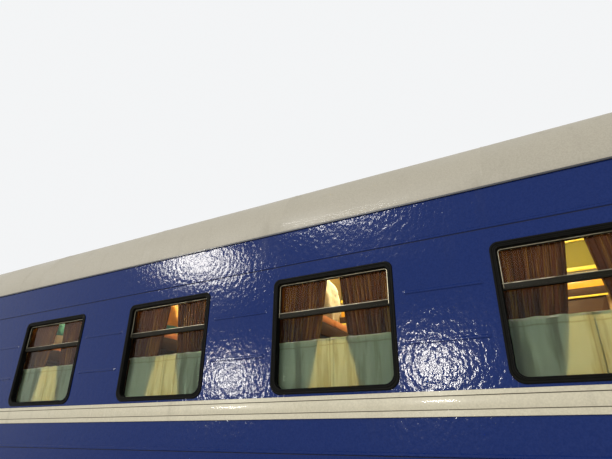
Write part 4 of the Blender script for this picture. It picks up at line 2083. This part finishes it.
@dataclass
class Bogie:
    """One two-axle bogie: welded frame, swing bolster, coil springs, axle boxes, brake gear and wheelsets."""

    name: str
    pivot: float
    axle_base: float = 2.4
    axle_height: float = 0.503
    journal: float = 1.018
    seat: float = 0.014
    wire: float = 0.0145
    coil_turns: float = 4.6
    coil_steps: int = 16
    closing: float = 0.055
    cover_face: float = 1.1245
    cover_bolts: float = 0.066
    tie_reach: float = 0.235
    tie_foot: float = 0.368
    frame_face: float = 0.075
    plate_reach: float = 0.47
    plate_heights: tuple[float, float] = (0.715, 0.83)
    guide_reach: float = 0.34
    guide_heights: tuple[float, float] = (0.58, 0.69)

    @property
    def body(self) -> str:
        """Name of the bogie's body."""
        return f"{self.name}_bogie"

    def coil(self, skin: Skin, box: Solid, radius: float, wire: float, turns: float) -> None:
        """Adds a coil spring between its seats: a helix whose rise loses a sine, so that both ends close up.

        Args:
            skin: Where the surfaces go.
            box: Box of the whole spring.
            radius: Radius of the coil's middle line.
            wire: Radius of its wire.
            turns: Number of turns.
        """
        way = np.linspace(0.0, 1.0, int(turns * self.coil_steps) + 1)
        rise = way - self.closing * np.sin(2 * pi * way)
        foot, top = box.low[2] + self.seat, box.high[2] - self.seat
        (x, y, _), turn = box.centre, 2 * pi * turns * way
        height = foot + wire + rise * (top - foot - 2 * wire)
        skin.tube(joined(x + radius * np.cos(turn), y + radius * np.sin(turn), height), wire)

    def springs(self) -> None:
        """Replaces the springs' cylinders: two coils one in the other, seats, and a guide inside."""
        skin = Skin()
        node = f"{self.name}_bogie_springs"
        for box in solids(node):
            centre, radius = (*box.centre[:2], 0), box.size[0] / 2
            foot, top = box.low[2], box.high[2]
            for low, high in ((foot, foot + self.seat), (top - self.seat, top)):
                plate = [(low, 0), (low, radius), (low + 0.003, radius), (high - 0.003, radius)]
                skin.turned([*plate, (high, radius - 0.003), (high, 0)], centre, Axis.UP, 28, 1)
            self.coil(skin, box, radius - self.wire - 0.006, self.wire, self.coil_turns)
            self.coil(skin, box, radius * 0.52, self.wire * 0.66, self.coil_turns * 1.3)
            skin.turned([(foot, 0.0), (foot, 0.024), (top, 0.024), (top, 0.0)], centre, Axis.UP, 14, 1)
        skin.build(f"{self.name}_bogie_coils", [SPRING, BOGIE_GREY], "bogie_grey", [node], 40.0, self.body)

    def wheelset(self, which: str) -> None:
        """Turns a wheelset on its axle: flange and tread in running shape, dished webs, hubs and journals.

        Args:
            which: Inner or outer, as in the node's name.
        """
        node = f"{self.name}_{which}_wheelset"
        low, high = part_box(node)
        x = (low.x + high.x) / 2
        half = np.array([
            (0.0, 0.078), (0.25, 0.079), (0.62, 0.082), (0.728, 0.082), (0.735, 0.092), (0.735, 0.128), (0.738, 0.130),
            (0.770, 0.130), (0.783, 0.134), (0.793, 0.155), (0.790, 0.200), (0.782, 0.270), (0.776, 0.350),
            (0.774, 0.385), (0.766, 0.400), (0.745, 0.396), (0.722, 0.393), (0.720, 0.398), (0.720, 0.490),
            (0.7225, 0.4975), (0.7295, 0.5025), (0.7375, 0.5020), (0.7440, 0.4965), (0.7490, 0.4885), (0.7540, 0.4815),
            (0.7620, 0.4785), (0.7800, 0.4770), (0.8400, 0.4725), (0.8460, 0.4700), (0.8500, 0.4650), (0.8500, 0.398),
            (0.8480, 0.393), (0.8200, 0.397), (0.8010, 0.400), (0.7990, 0.385), (0.8010, 0.350), (0.8070, 0.270),
            (0.8150, 0.200), (0.8220, 0.155), (0.8340, 0.134), (0.8600, 0.130), (0.9020, 0.130), (0.9050, 0.127),
            (0.9050, 0.072), (0.9120, 0.065), (1.0900, 0.065), (1.0900, 0.0),
        ])
        skin = Skin()
        skin.turned([*(half[::-1] * (-1, 1)), *half[1:]], (x, 0.0, self.axle_height), Axis.ACROSS, 80)
        finish = Tread(f"{node}_steel", (round(x, 4), self.axle_height))
        skin.build(f"{node}_turned", [finish], "wheel_steel", [node], 30.0, f"{self.name}_{which}_wheels")

    def boxes(self) -> None:
        """Softens the axle boxes and puts a bolted round cover on each, and two nuts under it."""
        softened(f"{self.name}_axle_boxes", [CAST], 0.006)
        skin = Skin()
        cover = np.array([(-0.012, 0.086), (0.004, 0.085), (0.007, 0.080), (0.007, 0.050), (0.010, 0.046), (0.010, 0)])
        nut = [(0, 0), (0, 0.026), (-0.03, 0.024), (-0.036, 0.012), (-0.036, 0)]
        ring = [(self.cover_bolts * cos(turn), self.cover_bolts * sin(turn)) for turn in np.arange(6) * pi / 3]
        for axle in (-1, 1):
            for side in (-1, 1):
                x = self.pivot + axle * self.axle_base / 2
                spot = np.array([x, side * self.cover_face, self.axle_height])
                skin.turned(cover * (side, 1), spot, Axis.ACROSS, 32)
                skin.bolts([spot + (a, side * 0.006, b) for a, b in ring], Axis.ACROSS, side, 0.011, 1)
                for reach in (-self.tie_reach, self.tie_reach):
                    skin.turned(nut, (x + reach, side * self.journal, self.tie_foot), Axis.UP, 6, 1)
        skin.build(f"{self.name}_axle_covers", [CAST, BUFFER], "cast_black", body=self.body)

    def dress(self) -> None:
        """Adds the frame's bolted plates and the horn guides beside each box."""
        skin = Skin()
        (foot, top), (guide_foot, guide_top) = self.plate_heights, self.guide_heights
        for side in (-1, 1):
            face = side * (self.journal + self.frame_face)
            for x in (self.pivot - self.plate_reach, self.pivot + self.plate_reach):
                low, high = (x - 0.075, face - side * 0.002, foot), (x + 0.075, face + side * 0.008, top)
                skin.block(low, high, 0.003, 0.01, Axis.ACROSS)
                spots = [(x + a, face + side * 0.007, 0.7725 + b) for a in (-0.05, 0.05) for b in (-0.035, 0.035)]
                skin.bolts(spots, Axis.ACROSS, side, 0.011, 1)
            for centre in (self.pivot - self.axle_base / 2, self.pivot + self.axle_base / 2):
                for x in (centre - self.guide_reach, centre + self.guide_reach):
                    high = (x + 0.012, face - side * 0.02, guide_top)
                    skin.block((x - 0.012, face - side * 0.13, guide_foot), high, 0.003)
        skin.build(f"{self.name}_bogie_plates", [BOGIE_GREY, CAST], "bogie_grey", body=self.body)

    def build(self) -> None:
        """Builds the bogie from its frame to its wheels."""
        softened(f"{self.name}_bogie_frame", [BOGIE_GREY], 0.007)
        softened(f"{self.name}_bolster", [BOGIE_GREY], 0.008)
        softened(f"{self.name}_brake_gear", [CAST], 0.004)
        self.springs()
        self.boxes()
        self.dress()
        for which in ("inner", "outer"):
            self.wheelset(which)


# Studio


@dataclass
class Studio:
    """Pale floor, soft light and the photographed view."""

    camera_place: tuple[float, float, float] = (2.119, -4.8085, 1.790)
    lens: float = 27.16
    yaw: float = -29.54
    pitch: float = 24.76
    roll: float = 0.645
    floor_size: float = 400.0
    floor_colour: Colour = (0.80, 0.80, 0.79)
    air: Colour = (0.95, 0.97, 1.0)
    ambient: float = 0.60
    ground: Colour = (0.90, 0.91, 0.92)
    sun: float = 1.9
    sun_place: tuple[float, float, float] = (-8.0, -16.0, 14.0)
    sun_target: tuple[float, float, float] = (0.0, 0.0, 2.0)
    room_powers: tuple[float, float] = (54.0, 20.0)
    room_heights: tuple[float, float] = (4.06, 1.5)
    glint_target: tuple[float, float, float] = (-0.5, -1.55, 2.8)
    glints: tuple[Numbers, ...] = (
        (-1.98, -14.35, 4.20, 1.0, 1.0, 300.0),
        (-10.6, -14.35, 4.25, 1.0, 1.2, 300.0),
        (-13.0, -14.35, 9.9, 2.6, 1.5, 560.0),
    )

    def floor(self) -> None:
        """Lays the floor under the wheels."""
        s = Shader("floor_pale_plaster")
        tint = s.blend(s.level(s.noise(0.7, 4.0), 0.3, 0.7), self.floor_colour, shade(self.floor_colour, 0.985))
        half = self.floor_size / 2
        mesh = bpy.data.meshes.new("studio_floor")
        mesh.from_pydata([(-half, -half, 0), (half, -half, 0), (half, half, 0), (-half, half, 0)], [], [(0, 1, 2, 3)])
        mesh.materials.append(s.done(s.surface(Base_Color=tint, Roughness=0.8, Specular_IOR_Level=0.2)))
        floor = bpy.data.objects.new("studio_floor", mesh)
        bpy.context.scene.collection.objects.link(floor)

    def world(self) -> None:
        """Lights from all round at a plain level, and shows as pale ground to the camera, gloss and glass."""
        world = bpy.data.worlds.new("studio_air")
        bpy.context.scene.world = world
        world.use_nodes = True
        tree = world.node_tree
        tree.nodes.clear()
        path = tree.nodes.new("ShaderNodeLightPath")
        rays = path.outputs["Is Camera Ray"]
        for name in ("Is Glossy Ray", "Is Transmission Ray"):
            either = tree.nodes.new("ShaderNodeMath")
            either.operation = "MAXIMUM"
            tree.links.new(rays, either.inputs[0])
            tree.links.new(path.outputs[name], either.inputs[1])
            rays = either.outputs[0]
        mixed = tree.nodes.new("ShaderNodeMixShader")
        tree.links.new(rays, mixed.inputs[0])
        for number, (colour, strength) in enumerate(((self.air, self.ambient), (self.ground, 1.0)), 1):
            light = tree.nodes.new("ShaderNodeBackground")
            light.inputs["Color"].default_value = (*colour, 1.0)
            light.inputs["Strength"].default_value = strength
            tree.links.new(light.outputs[0], mixed.inputs[number])
        tree.links.new(mixed.outputs[0], tree.nodes.new("ShaderNodeOutputWorld").inputs[0])

    def lamp(self, name: str, place: Numbers, toward: Numbers, **settings: object) -> None:
        """Adds a lamp that looks from its place toward a point.

        Args:
            name: Name of the lamp; the key light is a sun, any other one an area.
            place: Where it stands.
            toward: The point.
            settings: Its own settings.
        """
        data = bpy.data.lights.new(name, "SUN" if name == "key_light" else "AREA")
        for key, value in settings.items():
            setattr(data, key, value)
        made = bpy.data.objects.new(name, data)
        made.location = place
        made.rotation_mode = "QUATERNION"
        made.rotation_quaternion = (Vector(toward) - Vector(place)).to_track_quat("-Z", "Y")
        made.visible_diffuse = not name.startswith("glint")
        bpy.context.scene.collection.objects.link(made)

    def lamps(self) -> None:
        """Sets the soft key light outside, a warm lamp in each room, and three lamps seen only in the gloss."""
        key = {"energy": self.sun, "angle": radians(14), "color": (1.0, 0.98, 0.95)}
        self.lamp("key_light", self.sun_place, self.sun_target, **key)
        for window in windows(Side.COMPARTMENTS):
            name, power = f"room_light_{window.x:.1f}", self.room_powers[not window.wide]
            place, toward = ((window.x, LAMPS_ACROSS, height) for height in self.room_heights)
            self.lamp(name, place, toward, energy=power, size=0.3, color=(1.0, 0.76, 0.40))
        for number, (x, y, z, wide, tall, power) in enumerate(self.glints):
            shape = {"shape": "RECTANGLE", "size": wide, "size_y": tall, "color": (1.0, 0.96, 0.88)}
            self.lamp(f"glint_light_{number}", (x, y, z), self.glint_target, energy=power, **shape)

    def camera(self) -> None:
        """Stands the camera where the photograph was taken, turned by yaw, pitch and roll."""
        yaw, pitch, roll = (radians(angle) for angle in (self.yaw, self.pitch, self.roll))
        ahead = Vector((sin(yaw) * cos(pitch), cos(yaw) * cos(pitch), sin(pitch)))
        right = Vector((cos(yaw), -sin(yaw), 0.0))
        up = right.cross(ahead)
        right, up = cos(roll) * right + sin(roll) * up, cos(roll) * up - sin(roll) * right
        data = bpy.data.cameras.new("photo_view")
        data.lens, data.sensor_width, data.sensor_fit = self.lens, 36.0, "HORIZONTAL"
        data.clip_start, data.clip_end = 0.05, 500.0
        camera = bpy.data.objects.new("photo_view", data)
        camera.matrix_world = Matrix.Translation(self.camera_place) @ Matrix((right, up, -ahead)).transposed().to_4x4()
        bpy.context.scene.collection.objects.link(camera)
        bpy.context.scene.camera = camera

    def build(self) -> None:
        """Sets up floor, light and view."""
        bpy.context.scene.view_settings.view_transform = "Standard"
        for job in (self.floor, self.world, self.lamps, self.camera):
            job()


def main() -> None:
    """Builds the coach from its body to its bogies, then the studio round it."""
    logging.basicConfig(level=logging.INFO, format="%(message)s")
    builders = [
        BodySide(Side.COMPARTMENTS, "compartment_side_wall"),
        BodySide(Side.CORRIDOR, "corridor_side_wall"),
        WaistBand(),
        Roof(),
        WindowSet(),
        Curtains(),
        Rooms(),
        *[
            HingedDoor(f"side_door_{end}_{hand}", Axis.ACROSS, 0.045)
            for end in ("front", "rear")
            for hand in ("left", "right")
        ],
        *[HingedDoor(f"end_door_{end}", Axis.ALONG, 0.040) for end in ("front", "rear")],
        *[SlidingDoor(number) for number in range(1, 10)],
        CoachEnds(),
        Underfloor(),
        Bogie("front", 8.5),
        Bogie("rear", -8.5),
        Studio(),
    ]
    for builder in builders:
        LOG.info("Building %s", type(builder).__name__)
        builder.build()


if __name__ == "__main__":
    main()
